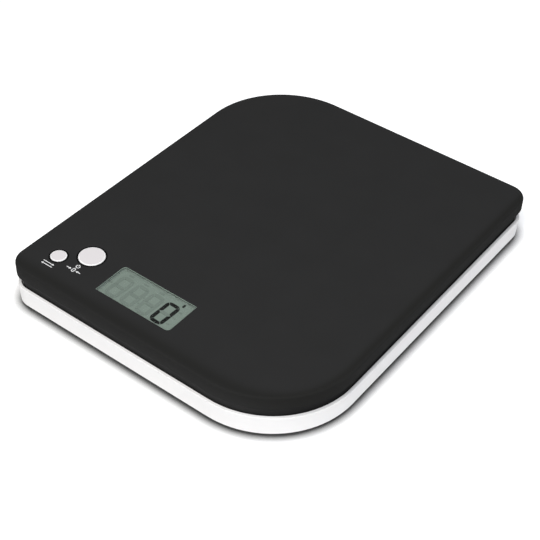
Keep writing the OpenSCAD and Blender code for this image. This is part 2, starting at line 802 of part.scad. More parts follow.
module lcd_rear_glass() {
    color("#b8c6be", 0.5) slab(rear_size, window_at, rear_glass_z, glass_t);
}

module lcd_reflector() {
    color("#839389") slab(rear_size, window_at, reflector_z, reflector_t);
}

// Where the digits' lower left corner is, counted from the left
digits_at = window_at + [-20.9, -8.9];
function digit_at(i) = digits_at + [i * digit_pitch, 0];

// Outer outline of a digit, or its inner one when drawn in by the stroke
module digit_outline(inset, r) {
    hull_w = digit_w - 2 * inset;
    hull_h = digit_h - 2 * inset;
    translate([inset, inset]) {
        translate([r, 0]) square([hull_w - 2 * r, hull_h]);
        translate([0, r]) square([hull_w, hull_h - 2 * r]);
        for (x = [r, hull_w - r], y = [r, hull_h - r]) translate([x, y]) circle(r = r);
    }
}

// Middle bar with pointed ends
module middle_bar(grow = 0) {
    half = digit_w / 2 - stroke * 0.55 + grow;
    tip = stroke / 2 + grow;
    translate([digit_w / 2, digit_h / 2]) polygon([
        [-half, 0], [-half + tip, tip], [half - tip, tip], [half, 0], [half - tip, -tip], [-half + tip, -tip]
    ]);
}

// The six outer bars: a ring cut at its corners and at half its height
module outer_bars() {
    difference() {
        digit_outline(0, digit_corner_r);
        digit_outline(stroke, 0.3);
        middle_bar(bar_gap);
        translate([-1, (digit_h - bar_gap) / 2]) square([digit_w + 2, bar_gap]);
        for (x = [0, 1], y = [0, 1]) translate([x * digit_w, y * digit_h]) mirror([x, 0]) mirror([0, y])
            translate([stroke / 2, stroke / 2]) rotate(45) square([3 * stroke, bar_gap], center = true);
    }
}

// Places a digit's flat parts in the display's layer, with the digits' lean
module in_layer(digit) {
    at = digit_at(digit);
    translate([at.x, at.y, layer_z]) rotate(-lean) linear_extrude(layer_t) children();
}

// The last digit shows a nought
module lcd_lit_segments() {
    color("#151515") {
        in_layer(3) outer_bars();
        unit_mark();
    }
}

// Small upright mark over the last digit, a plain stand-in for the unit's letter
module unit_mark() {
    at = digit_at(3) + [digit_w + 0.25, digit_h + 1.45];
    slab([1.2, 1], at, layer_z, layer_t);
    for (side = [-0.5, 0.5]) disc(at + [0, side], 0.6, layer_z, layer_t);
}

module lcd_faint_segments() {
    color("#74847b") {
        for (d = [0:2]) in_layer(d) outer_bars();
        for (d = [0:3]) in_layer(d) middle_bar();
        minus = digit_at(0) + [-1.9, digit_h / 2];
        slab([2.2, 0.9], minus, layer_z, layer_t);
        for (y = [0.32, 0.6]) slab([0.8, 0.8], digit_at(2) + [-0.5, digit_h * y], layer_z, layer_t);
        for (d = [0:2]) slab([3, 1.1], digit_at(d) + [digit_w / 2, digit_h + 1.5], layer_z, layer_t);
        for (y = [0.2, 0.5, 0.8]) slab([1.8, 0.9], digit_at(4) + [0.4, digit_h * y], layer_z, layer_t);
    }
}

// Frame round the display's glass, with a shelf that the rear glass lies on
module lcd_holder() {
    shelf = [rear_size.x, rear_size.y - 2 * clear];
    color("whitesmoke") difference() {
        slab(holder_size, window_at, board_top_z, lens_flange_z - board_top_z);
        slab([for (s = glass_size) s + 2 * clear], window_at, reflector_z, glass_t * 4);
        slab([for (s = shelf) s - 5], window_at, board_top_z - 1, 10);
        for (side = [-1, 1]) slab([glass_size.x - 2, strip_w + 2 * clear], window_at + [0, side * strip_y],
            board_top_z - 1, 10);
    }
}

// Elastic contact strips between the board and the front glass's two ledges
module contact_strips() {
    color("pink") for (side = [-1, 1])
        slab([glass_size.x - 3, strip_w], window_at + [0, side * strip_y], board_top_z,
            front_glass_z - board_top_z);
}

/* Board */

module main_board() {
    color("darkgreen") difference() {
        translate([board_left, board_front, board_z])
            cube([board_right - board_left, board_back - board_front, board_t]);
        for (p = board_screw_at) disc(p, board_screw_r + 0.25, board_z - 1, board_t + 2);
    }
}

module board_screws() {
    color("silver") for (p = board_screw_at)
        screw(p, board_screw_r, board_t + board_screw_l, board_z, true, board_head_r, board_head_h);
}

// Resin drop over the chip, on the board's underside: a cap of a ball
module chip_resin() {
    ball_r = (resin_r * resin_r + resin_h * resin_h) / (2 * resin_h);
    color("#111111") translate([chip_at.x, chip_at.y, board_z]) mirror([0, 0, 1]) intersection() {
        translate([0, 0, resin_h - ball_r]) sphere(r = ball_r);
        cylinder(r = resin_r + spare, h = resin_h + spare);
    }
}

// Chip capacitors, resistors and a quartz crystal, on the board's underside
module board_components() {
    for (i = [0:2], j = [0, 1]) color("tan")
        slab(small_part, capacitor_at + small_pitch * [i, j], board_z - small_part.z, small_part.z);
    for (i = [0:3]) color("#202020")
        slab(small_part, resistor_at + small_pitch * [i, 0], board_z - resistor_h, resistor_h);
    color("silver") translate([crystal_at.x, crystal_at.y, board_z - crystal_r]) rotate([90, 0, 0])
        cylinder(r = crystal_r, h = crystal_l);
}

// Socket for the load cell's leads, with a slot over each spring contact
module lead_socket() {
    color("ivory") difference() {
        slab(socket_size, socket_at, board_z - socket_size.z, socket_size.z);
        for (x = lead_x) slab([0.6, 2], [x, socket_at.y], board_z - socket_size.z - eps, 0.8);
    }
}

module switch_body(at) {
    color("#1c1c1c") difference() {
        union() {
            slab([switch_s, switch_s], at, board_top_z, switch_h - 0.4);
            slab([switch_s - 0.4, switch_s - 0.4], at, board_top_z + switch_h - 0.4, 0.4);
        }
        disc(at, plunger_r + 0.1, board_top_z + switch_h - plunger_depth - button_travel - clear, 4);
    }
}

module plunger(at) {
    color("ivory")
        disc(at, plunger_r, board_top_z + switch_h - plunger_depth, plunger_depth + plunger_proud);
}

/* Buttons */

module button(at, r) {
    rise = top_z + button_proud;
    color("#E6E2E4") translate([at.x, at.y, 0]) rotate_extrude() {
        difference() {
            translate([0, flange_top_z - flange_t]) square([r, rise - flange_top_z + flange_t]);
            translate([r - button_edge_r, rise - button_edge_r]) round_cut(button_edge_r);
        }
        translate([0, flange_top_z - flange_t]) square([r + flange_w, flange_t]);
        translate([0, plunger_top_z]) square([stem_r, flange_top_z - plunger_top_z]);
    }
}

base_shell();
foot([-foot_x, -foot_y]);  // foot_front_left
foot([foot_x, -foot_y]);  // foot_front_right
foot([-foot_x, foot_y]);  // foot_back_left
foot([foot_x, foot_y]);  // foot_back_right
cell_base_plate();
cell_base_screws();
load_cell();
strain_gauges();
gauge_coating();
cell_leads();
battery_leads();
coin_cell();
positive_contact();
negative_contact();
battery_cap();
platform_cover();
platform_frame();
frame_screws();
cell_top_plate();
cell_top_screws();
display_lens();
lens_tape();
lcd_front_glass();
lcd_lit_segments();
lcd_faint_segments();
lcd_rear_glass();
lcd_reflector();
lcd_holder();
contact_strips();
main_board();
board_screws();
chip_resin();
board_components();
lead_socket();
switch_body(big_button_at);  // zero_switch
switch_body(small_button_at);  // unit_switch
button(big_button_at, big_button_r);  // on_zero_button
plunger(big_button_at);  // zero_plunger
button(small_button_at, small_button_r);  // unit_button
plunger(small_button_at);  // unit_plunger
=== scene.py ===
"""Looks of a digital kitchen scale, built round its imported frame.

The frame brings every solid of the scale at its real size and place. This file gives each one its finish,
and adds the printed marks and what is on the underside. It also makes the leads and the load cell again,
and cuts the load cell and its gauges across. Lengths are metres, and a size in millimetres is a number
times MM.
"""

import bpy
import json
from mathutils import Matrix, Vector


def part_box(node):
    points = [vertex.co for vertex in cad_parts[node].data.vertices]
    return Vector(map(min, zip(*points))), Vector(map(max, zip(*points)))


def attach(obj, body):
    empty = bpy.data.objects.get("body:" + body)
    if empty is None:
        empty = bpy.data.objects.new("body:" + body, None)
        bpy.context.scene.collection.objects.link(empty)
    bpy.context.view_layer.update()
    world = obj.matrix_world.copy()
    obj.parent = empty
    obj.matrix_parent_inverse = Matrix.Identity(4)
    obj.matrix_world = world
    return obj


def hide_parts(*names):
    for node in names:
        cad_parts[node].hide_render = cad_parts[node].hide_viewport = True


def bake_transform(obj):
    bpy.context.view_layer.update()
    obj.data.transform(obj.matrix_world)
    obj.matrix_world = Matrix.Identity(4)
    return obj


bl_info = {
    "name": "Kitchen scale looks",
    "version": (1, 0, 0),
    "blender": (4, 5, 0),
    "location": "3D View > Sidebar > Kitchen scale",
    "description": "Finishes, printed marks and moulded details for a digital kitchen scale",
    "category": "Object",
}

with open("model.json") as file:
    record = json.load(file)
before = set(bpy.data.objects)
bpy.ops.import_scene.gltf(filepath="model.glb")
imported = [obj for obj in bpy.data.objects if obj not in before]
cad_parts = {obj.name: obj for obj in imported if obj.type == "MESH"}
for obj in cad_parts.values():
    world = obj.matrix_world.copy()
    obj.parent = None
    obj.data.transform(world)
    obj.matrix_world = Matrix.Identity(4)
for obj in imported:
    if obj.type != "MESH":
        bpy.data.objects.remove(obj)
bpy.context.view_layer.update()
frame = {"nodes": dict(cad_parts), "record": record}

import json
import math

import bmesh
import bpy
import numpy as np
from bpy.props import FloatProperty, FloatVectorProperty, PointerProperty
from mathutils import Matrix, Vector

MM = 0.001

NOISE_ENDS = (0.3, 0.7)  # nearly all values of a noise texture lie between these
WHOLE = (0, 1)  # both ends of a share
WAVE = math.pi / 20  # the scale of a wave texture whose stripes are 1 m wide
WHITE = (1, 1, 1, 1)


# Colours and nodes


def srgb(text):
    """Linear red, green and blue of an sRGB hex colour."""
    channels = [int(text[i:i + 2], 16) / 255 for i in (0, 2, 4)]
    return tuple(c / 12.92 if c <= 0.04045 else ((c + 0.055) / 1.055) ** 2.4 for c in channels)


def colour_property(name, description, text):
    """A colour that the user may change, written as sRGB hex."""
    return FloatVectorProperty(name=name, description=description, subtype="COLOR", size=3, min=0, max=1,
                               default=srgb(text))


def length_property(name, description, millimetres):
    """A length that the user may change, written in millimetres."""
    return FloatProperty(name=name, description=description, unit="LENGTH", precision=5, min=0,
                         default=millimetres * MM)


def rgba(colour, brightness=1.0):
    """A colour as the four numbers of a socket, made lighter or darker by a factor."""
    return (*(c * brightness for c in colour), 1.0)


def tones(colour, dark, light):
    """Two shades of a colour, each by its factor."""
    return rgba(colour, dark), rgba(colour, light)


def add(tree, kind, inputs=(), **settings):
    """Adds a shader node, whose settings are its own fields.

    Its inputs are values or the sockets that feed them, either in order or each by its name or number.
    """
    node = tree.nodes.new("ShaderNode" + kind)
    for field, value in settings.items():
        setattr(node, field, value)
    for key, value in inputs.items() if isinstance(inputs, dict) else enumerate(inputs):
        if isinstance(value, bpy.types.NodeSocket):
            tree.links.new(value, node.inputs[key])
        else:
            node.inputs[key].default_value = value
    return node


class Finish:
    """A material being written: its tree, its Principled shader and the place on the piece, in metres."""

    def __init__(self, name, colour, roughness, **constants):
        self.material = bpy.data.materials.new(name)
        self.material.use_nodes = True
        self.tree = self.material.node_tree
        self.shader = self.tree.nodes["Principled BSDF"]
        self.place = add(self.tree, "TexCoord").outputs["Object"]
        self.shader.inputs["Base Color"].default_value = rgba(colour)
        self.shader.inputs["Roughness"].default_value = roughness
        for socket, value in constants.items():
            self.shader.inputs[socket.replace("_", " ")].default_value = value

    def node(self, kind, inputs=(), output=0, **settings):
        """One output of an added node. A texture with no vector of its own reads the place on the piece."""
        if kind.startswith("Tex"):
            inputs = {"Vector": self.place, **inputs}
        return add(self.tree, kind, inputs, **settings).outputs[output]

    def feed(self, socket, source):
        """Links a source to one of the shader's sockets."""
        self.tree.links.new(source, self.shader.inputs[socket])

    def vary(self, pattern, shades=None, roughness=None, depth=None, ends=NOISE_ENDS):
        """Lets a pattern vary the finish.

        As the pattern goes from one end to the other, the base colour goes between two shades and the
        roughness between two values. The relief follows the pattern itself, and is depth metres deep.
        """
        if shades:
            share = self.node("MapRange", (pattern, *ends, *WHOLE))
            mix = self.node("Mix", {0: share, 6: shades[0], 7: shades[1]}, 2, data_type="RGBA")
            self.feed("Base Color", mix)
        if roughness:
            self.feed("Roughness", self.node("MapRange", (pattern, *ends, *roughness)))
        if depth:
            self.feed("Normal", self.node("Bump", {"Height": pattern, "Distance": depth}))

    def streaks(self, width, stretch, detail=2):
        """Soft random streaks about as wide as width, and drawn out along each axis by its stretch."""
        drawn = self.node("Mapping", {"Vector": self.place, "Scale": [1 / s for s in stretch]})
        return self.node("TexNoise", {"Vector": drawn, "Scale": 1 / width, "Detail": detail})


def dress_node(node, finish):
    """Gives a finish to one solid of the frame."""
    for place in frame["nodes"][node].material_slots:
        place.material = finish.material


def dress(slot, finish):
    """Gives a finish to each solid of the frame whose slot in the record has this name."""
    for part in frame["record"]["subparts"]:
        if part["material_slot"] == slot:
            dress_node(part["node"], finish)


# Shapes


def show(name, mesh, material, smooth_angle):
    """Makes a smooth piece of a mesh, sharp where two faces meet at more than an angle in degrees."""
    mesh.materials.clear()
    mesh.materials.append(material)
    mesh.polygons.foreach_set("use_smooth", np.ones(len(mesh.polygons), bool))
    mesh.set_sharp_from_angle(angle=math.radians(smooth_angle))
    piece = bpy.data.objects.new(name, mesh)
    bpy.context.scene.collection.objects.link(piece)
    return piece


def put(name, points, faces, body, slot, material):
    """Makes a piece from points and arrays of faces, which rides on a body of the frame."""
    mesh = bpy.data.meshes.new(name)
    mesh.from_pydata(points.tolist(), [], [face for some in faces for face in some.tolist()])
    mesh.validate()
    piece = show(name, mesh, material, 40)
    if body is not None:
        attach(piece, body)
    return piece


def joined(shapes):
    """Several shapes, each its points and its arrays of faces, as one."""
    starts = np.cumsum([0] + [len(points) for points, _ in shapes])
    faces = [some + start for start, (_, arrays) in zip(starts, shapes) for some in arrays]
    return np.concatenate([points for points, _ in shapes]), faces


def skin(rings, closed):
    """Quads over rows of points, each row a closed ring.

    Row i and column j give a point. Each face joins two columns of two rows, and the columns wrap round.
    A closed skin wraps its rows too. An open one ends in a fan at either end, to the middle of that row.
    """
    rows, columns = rings.shape[:2]
    points = rings.reshape(-1, 3)
    i, j = np.meshgrid(np.arange(rows if closed else rows - 1), np.arange(columns), indexing="ij")
    here, after = i * columns, (i + 1) % rows * columns
    wrap = (j + 1) % columns
    faces = [np.stack([here + j, after + j, after + wrap, here + wrap], axis=-1).reshape(-1, 4)]
    if not closed:
        points = np.concatenate([points, rings[[0, -1]].mean(axis=1)])
        k = np.arange(columns)
        first, last = rows * columns, (rows - 1) * columns
        faces.append(np.stack([np.full(columns, first), k, (k + 1) % columns], axis=-1))
        faces.append(np.stack([np.full(columns, first + 1), last + (k + 1) % columns, last + k], axis=-1))
    return points, faces


def headings(path, closed):
    """Unit tangent at each point of a flat path: the direction from the point before to the point after."""
    if closed:
        along = np.roll(path, -1, axis=0) - np.roll(path, 1, axis=0)
    else:
        along = np.gradient(path, axis=0)
    return along / np.linalg.norm(along, axis=1, keepdims=True)


def stroke(path, widths, face, height, sink, closed=False, columns=12):
    """A printed or moulded line: a flat dome carried along a path that lies in the plane of a face.

    A point of the dome is the path's point, plus half the width times cos a to the side, plus a lift out of
    the face. The lift is the height times the fourth root of sin a over the upper half turn, and the sink
    under the face over the lower one. face is the level of the plane, and height is negative on a face that
    looks down.
    """
    path = np.asarray(path, float)
    half = np.broadcast_to(np.asarray(widths, float) / 2, len(path))[:, None]
    along = headings(path, closed)
    side = np.stack([-along[:, 1], along[:, 0]], axis=1)
    a = np.linspace(0, 2 * np.pi, columns, endpoint=False) + np.pi / columns
    lift = np.where(np.sin(a) > 0, height * np.abs(np.sin(a)) ** 0.25, -sink * np.sign(height))
    x = path[:, :1] + side[:, :1] * half * np.cos(a)
    y = path[:, 1:] + side[:, 1:] * half * np.cos(a)
    z = face + np.broadcast_to(lift, x.shape)
    rings = np.stack([x, y, z], axis=-1)
    return skin(rings if height > 0 else rings[:, ::-1], closed)


def line(start, end, width, steps=8):
    """Path and widths of a straight line with round ends.

    The width at a distance d from an end is the chord of the end's circle there, until it is the full width.
    The first angle is a little over 0, so that the line doesn't start as a point.
    """
    start, end = np.asarray(start, float), np.asarray(end, float)
    length = np.linalg.norm(end - start)
    first_angle = 0.12
    cap = width / 2 * (1 - np.cos(np.linspace(first_angle, np.pi / 2, steps)))
    d = np.concatenate([cap, (length - cap)[::-1]])
    inside = np.minimum(np.minimum(d, length - d), width / 2)
    widths = 2 * np.sqrt(inside * (width - inside))
    return start + (end - start) * (d / length)[:, None], widths


def arrow(start, end, width, head_width, head_length):
    """Path and widths of an arrow: a straight shaft, a step out to the head's width and a taper."""
    start, end = np.asarray(start, float), np.asarray(end, float)
    length = np.linalg.norm(end - start)
    neck = 1 - head_length / length
    step, tip = 1e-4, 0.999
    share = np.array([0, neck - step, neck, (neck + 1) / 2, tip])
    widths = np.array([width, width, head_width, head_width / 2, head_width * 0.02])
    return start + (end - start) * share[:, None], widths


def arc(middle, radius, start, end, steps=48):
    """Points on an arc or ellipse, from a start to an end angle in degrees, counted from +X towards +Y."""
    a = np.radians(np.linspace(start, end, steps))
    return np.asarray(middle) + np.asarray(radius) * np.stack([np.cos(a), np.sin(a)], axis=1)


def loop(middle, radius, steps=64):
    """Points of a whole circle or ellipse, without its first point again at the end."""
    return arc(middle, radius, 0, 360 * (1 - 1 / steps), steps)


def round_box_path(middle, size, radius, steps=8):
    """Closed path of a rectangle with round corners: four quarter circles, joined by straight sides."""
    reach = np.asarray(size) / 2 - radius
    corners = [(1, 1, 0), (-1, 1, 90), (-1, -1, 180), (1, -1, 270)]
    arcs = [arc(np.asarray(middle) + reach * (x, y), radius, a, a + 90, steps) for x, y, a in corners]
    return np.concatenate(arcs)


def plate(outline, low, high, edge):
    """A thin flat plate: an outline at four levels, drawn in by the edge at the first and last."""
    middle = outline.mean(axis=0)
    reach = outline - middle
    inner = middle + reach * (1 - edge / np.linalg.norm(reach, axis=1, keepdims=True))
    levels = [(inner, low), (outline, low + edge), (outline, high - edge), (inner, high)]
    rings = np.stack([np.column_stack([flat, np.full(len(flat), z)]) for flat, z in levels])
    return skin(rings[:, ::-1], False)


def tube(path, radius, sides=14):
    """A round tube along a path that lies in an upright plane x = constant.

    Each ring is the path's point plus the radius times cos a along X and sin a along the direction that is
    square to both X and the path.
    """
    across = np.array([1.0, 0.0, 0.0])
    up = np.cross(across, headings(path, False))
    a = np.linspace(0, 2 * np.pi, sides, endpoint=False)[:, None]
    rings = path[:, None] + radius * (np.cos(a) * across + np.sin(a) * up[:, None])
    return skin(rings, False)


def between(first, second, start, end, t):
    """Point that goes from the first to the second as t goes from start to end."""
    return ((end - t) * first + (t - start) * second) / (end - start)


def eased(corners, steps=10):
    """Smooth path through a route's points: a centripetal cubic from each point to the next.

    A knot is the sum of the square roots of the distances so far. Between two points, lines go through the
    three pairs of neighbours, two curves blend the lines in pairs, and the path blends the curves.
    """
    corners = np.asarray(corners, float)
    ends = [2 * corners[0] - corners[1], 2 * corners[-1] - corners[-2]]
    p = np.concatenate([[ends[0]], corners, [ends[1]]])
    knots = np.concatenate([[0], np.cumsum(np.linalg.norm(np.diff(p, axis=0), axis=1) ** 0.5)])
    pieces = []
    for i in range(1, len(p) - 2):
        t = np.linspace(knots[i], knots[i + 1], steps, endpoint=False)[:, None]
        lines = [between(p[k], p[k + 1], knots[k], knots[k + 1], t) for k in (i - 1, i, i + 1)]
        curves = [between(*lines[m:m + 2], knots[i - 1 + m], knots[i + 1 + m], t) for m in (0, 1)]
        pieces.append(between(*curves, knots[i], knots[i + 1], t))
    return np.concatenate([*pieces, corners[-1:]])


def middle_of(node):
    """Middle of a solid of the frame, as x and y."""
    low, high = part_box(node)
    return np.array([(low.x + high.x) / 2, (low.y + high.y) / 2])


# Sizes and colours that a user may change


class StudioSettings(bpy.types.PropertyGroup):
    """Floor, sky and lamps."""

    floor_white: FloatProperty(name="Floor white", description="How white the camera sees the lit floor",
                               default=1.32, min=0.5, max=2)
    contact: length_property("Contact shadow", "How far the dark shadow under the scale reaches", 8.3)
    contact_dark: FloatProperty(name="Contact dark", description="Share of the white left in that shadow",
                                default=0.05, min=0, max=1)
    sky: FloatProperty(name="Sky", description="Light of the even sky on the scale",
                       default=0.23, min=0, max=2)
    key: FloatProperty(name="Key lamp", description="Power of the large lamp at the front", unit="POWER",
                       default=15, min=0)
    fill: FloatProperty(name="Fill lamp", description="Power of the weak lamp at the right", unit="POWER",
                        default=3.5, min=0)


class CasingSettings(bpy.types.PropertyGroup):
    """Moulded casings."""

    cover: colour_property("Cover", "Colour of the black platform cover", "2C2C2C")
    # painted shade: the cover edge colour darkens a band along the cover's front and right edges
    edge: colour_property("Cover edge", "Colour of the darker band along the cover's edges", "252524")
    neck: colour_property("Neck", "Colour of the dark frame under the cover", "2A2A2A")
    base: colour_property("Base", "Colour of the white base", "FCFBFB")
    foot: colour_property("Feet", "Colour of the rubber feet", "4A4A49")
    grain: length_property("Grain", "Width of the eroded grain on the cover", 0.4)
    grain_depth: length_property("Grain depth", "Depth of that grain", 0.012)
    # painted shade: the button holes colour blackens the slits round the buttons
    slit_shade: colour_property("Button holes", "Colour in the slits round the buttons", "0A0A0A")
    slit: length_property("Slit", "Width of the slit round a button", 0.5)


class ButtonSettings(bpy.types.PropertyGroup):
    """Push buttons."""

    face: colour_property("Face", "Colour of the buttons' faces", "DCD8D9")
    # painted highlight: the rim colour lightens the buttons' round edges
    rim: colour_property("Rim", "Colour of the buttons' round edges", "F4F3F3")
    rim_width: length_property("Rim width", "Width of the light edge", 0.7)
    # painted shade: the side colour darkens a button's side down in the slit
    side: colour_property("Side", "Colour of a button's side down in the cover", "121212")


class DisplaySettings(bpy.types.PropertyGroup):
    """Display window."""

    panel: colour_property("Panel", "Colour of the reflecting film", "78857C")
    # painted light: the border colour, lighter than the panel, hides the shade at the window's edges
    border: colour_property("Border", "Colour of the printed border on the front glass", "97A59C")
    border_width: length_property("Border width", "Width of that border at the window's sides", 0.45)
    ink: colour_property("Lit bars", "Colour of the bars that are on", "080908")
    faint: colour_property("Faint bars", "Colour of the bars that are off", "6E7A72")
    # painted light: the window tint colours the window's opaque edges, over the shade of its well
    window: colour_property("Window", "Tint of the clear window and its frosted edges", "9DABA2")


class MarkSettings(bpy.types.PropertyGroup):
    """Printed pictograms beside the buttons."""

    ink: colour_property("Ink", "Colour of the printed marks", "EDEDED")
    width: length_property("Stroke", "Width of a printed line", 0.45)
    height: length_property("Ink height", "How far the ink stands up", 0.03)


class UndersideSettings(bpy.types.PropertyGroup):
    """Moulded marks and the bare plate of the underside."""

    relief: length_property("Relief", "Height of the moulded marks", 0.2)
    width: length_property("Line width", "Width of a moulded line", 0.6)
    plate_width: length_property("Plate width", "Width of the bare plate", 54)
    plate_depth: length_property("Plate depth", "Depth of the bare plate", 32)


class MetalSettings(bpy.types.PropertyGroup):
    """Metal pieces."""

    aluminium: colour_property("Load cell", "Colour of the milled aluminium", "C9CBCD")
    zinc: colour_property("Zinc", "Colour of zinc plated steel", "B4B7BA")
    nickel: colour_property("Nickel", "Colour of nickel plated steel", "C6C3BC")
    contact: colour_property("Contacts", "Colour of the plated bronze contacts", "CDB682")


class BoardSettings(bpy.types.PropertyGroup):
    """Circuit board."""

    mask: colour_property("Solder mask", "Colour of the board", "1F5A35")
    track: colour_property("Tracks", "Colour of copper under the mask", "2F7A4B")


class LeadSettings(bpy.types.PropertyGroup):
    """Leads of the load cell and of the battery."""

    diameter: length_property("Diameter", "Diameter of a lead over its sheath", 1.0)
    red: colour_property("Red", "Colour of the supply leads", "A92520")
    black: colour_property("Black", "Colour of the ground leads", "1E1E1F")
    green: colour_property("Green", "Colour of the signal lead", "2B7A3D")
    white: colour_property("White", "Colour of the other signal lead", "DDDCD6")


# Stage


class SetStage(bpy.types.Operator):
    """Makes the pale floor, the even sky, the two soft lamps and the camera."""

    bl_idname = "kitchen_scale.set_stage"
    bl_label = "Set the stage"

    # Where the camera stands, which way it looks and its small turn about its own axis, in degrees
    camera_at = (0.29098, -0.40654, 0.45314)
    azimuth, elevation, roll = 35.673, 42.266, 2.275
    focal_length, film_width = 83.575, 36.0  # millimetres
    film_shift = (-0.01126, -0.00869)

    # The floor's radius, and the two distances from its middle between which the camera sees it turn white
    floor_radius = 12
    floor_fade = (0.3, 0.7)

    # The lamps hang at one height and distance. Azimuth 0 is at the front, and 90 at the right.
    lamp_elevation, lamp_distance, lamp_width = 60, 1.3, 0.9
    lamps = {"key": (20, "FFFEFC"), "fill": (88, "E8F0FF")}  # azimuth and tint

    def execute(self, context):
        settings = context.scene.scale_studio
        self.place_camera(context)
        self.lay_floor(settings)
        self.light_sky(context, settings)
        for name, (azimuth, tint) in self.lamps.items():
            self.hang_lamp(context, f"{name}_lamp", azimuth, getattr(settings, name), tint)
        context.scene.view_settings.view_transform = "Standard"
        return {"FINISHED"}

    def place_camera(self, context):
        lens = bpy.data.cameras.new("camera")
        lens.lens, lens.sensor_width = self.focal_length, self.film_width
        lens.shift_x, lens.shift_y = self.film_shift
        lens.clip_start, lens.clip_end = 0.01, 50
        camera = bpy.data.objects.new("camera", lens)
        turn = (Matrix.Rotation(math.radians(self.azimuth), 4, "Z")
                @ Matrix.Rotation(math.radians(90 - self.elevation), 4, "X")
                @ Matrix.Rotation(math.radians(self.roll), 4, "Z"))
        camera.matrix_world = Matrix.Translation(self.camera_at) @ turn
        context.scene.collection.objects.link(camera)
        context.scene.camera = camera

    def lay_floor(self, settings):
        """Flat floor, as one wide face.

        The camera sees it whiter than it lights the scale, and plain white far away. Near the scale a
        painted contact shadow darkens it, the more as less of the space round a place is open.
        """
        finish = Finish("matt_white_floor", srgb("EDEDED"), 0.9)
        white = (settings.floor_white,) * 3
        # painted shadow: darker where less of the space round a place is open
        openness = finish.node("AmbientOcclusion", {"Distance": settings.contact}, "AO", samples=24)
        lit = finish.node("MapRange", (openness, 0.5, 1, *WHOLE))
        shades = {0: lit, 6: rgba(white, settings.contact_dark), 7: rgba(white)}
        near = finish.node("BsdfDiffuse", {"Color": finish.node("Mix", shades, 2, data_type="RGBA")})
        plain = finish.node("Emission", (WHITE, 1.0))
        distance = finish.node("VectorMath", (finish.place,), "Value", operation="LENGTH")
        far_share = finish.node("MapRange", (distance, *self.floor_fade, *WHOLE))
        seen = finish.node("MixShader", (far_share, near, plain))
        camera_ray = finish.node("LightPath", output="Is Camera Ray")
        surface = finish.node("MixShader", (camera_ray, finish.shader.outputs[0], seen))
        finish.tree.links.new(surface, finish.tree.nodes["Material Output"].inputs["Surface"])
        rim = loop((0, 0), self.floor_radius)
        points = np.column_stack([rim, np.zeros(len(rim))])
        floor = put("floor", points, [np.arange(len(rim))[None]], None, None, finish.material)

    def light_sky(self, context, settings):
        """Even sky. The camera, and what glossy and clear surfaces show of it, see it plain white."""
        world = bpy.data.worlds.new("sky")
        world.use_nodes = True
        tree = world.node_tree
        tree.nodes.clear()
        rays = add(tree, "LightPath").outputs
        seen = add(tree, "Math", (rays["Is Camera Ray"], rays["Is Glossy Ray"]), operation="ADD").outputs[0]
        both = (seen, rays["Is Transmission Ray"])
        shown = add(tree, "Math", both, operation="ADD", use_clamp=True).outputs[0]
        light = add(tree, "Background", (WHITE, settings.sky)).outputs[0]
        plain = add(tree, "Background", (WHITE, 1.0)).outputs[0]
        mix = add(tree, "MixShader", (shown, light, plain)).outputs[0]
        add(tree, "OutputWorld", {"Surface": mix})
        context.scene.world = world

    def hang_lamp(self, context, name, azimuth, power, tint):
        """A square soft lamp that looks at the scale."""
        a, e = math.radians(azimuth), math.radians(self.lamp_elevation)
        towards = Vector((math.sin(a) * math.cos(e), -math.cos(a) * math.cos(e), math.sin(e)))
        light = bpy.data.lights.new(name, "AREA")
        light.shape, light.size = "SQUARE", self.lamp_width
        light.energy, light.color = power, srgb(tint)
        lamp = bpy.data.objects.new(name, light)
        turn = towards.to_track_quat("Z", "Y").to_matrix().to_4x4()
        lamp.matrix_world = Matrix.Translation(towards * self.lamp_distance) @ turn
        context.scene.collection.objects.link(lamp)


# Casings


COVER_CORNER = 50 * MM  # radius of the cover's large corners
# The front's tint, on the cover's front wall and the frame's front, is painted light
FRONT_FADE = (6 * MM, 48 * MM)  # how far from the edge the front's tint starts to fade, and is gone
# The next three set the cover's darker band along its front and right edges, which is painted shade
SHADE_BAND_MIDDLE = (1.9 * MM, 3.3 * MM)  # middle of the cover's darker band at the right side and at the front
SHADE_BAND_WIDTH = (2.3 * MM, 4.1 * MM)  # how far the band reaches from its middle, there and there
SHADE_BAND_BEND = 8.4 * MM  # four times how far the band comes nearer to the edge halfway round the corner
# The front wall's lighter tone set below is painted light
WALL_LIGHT_FADE = (20.2 * MM, 27.6 * MM)  # levels between which the front wall's lighter tone fades out
RIM_FACE = (12.6 * MM, 12.88 * MM)  # levels where the wall of the base ends and where its rim's face starts
UNDERSIDE = (1.52 * MM, 1.9 * MM)  # levels where the underside ends and where the wall of the base starts
BUTTON_FLANGE = 1.4 * MM  # how far a button's flange, hidden under the cover, reaches past its face


def off_buttons(finish):
    """For each button, the distance of a place from its axis and the radius of its face."""
    pairs = []
    for node in ("on_zero_button", "unit_button"):
        low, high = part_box(node)
        off = finish.node("VectorMath", (finish.place, (*middle_of(node), 0)), operation="SUBTRACT")
        flat = finish.node("VectorMath", (off, (1, 1, 0)), operation="MULTIPLY")
        distance = finish.node("VectorMath", (flat,), "Value", operation="LENGTH")
        pairs.append((distance, (high.x - low.x) / 2 - BUTTON_FLANGE))
    return pairs


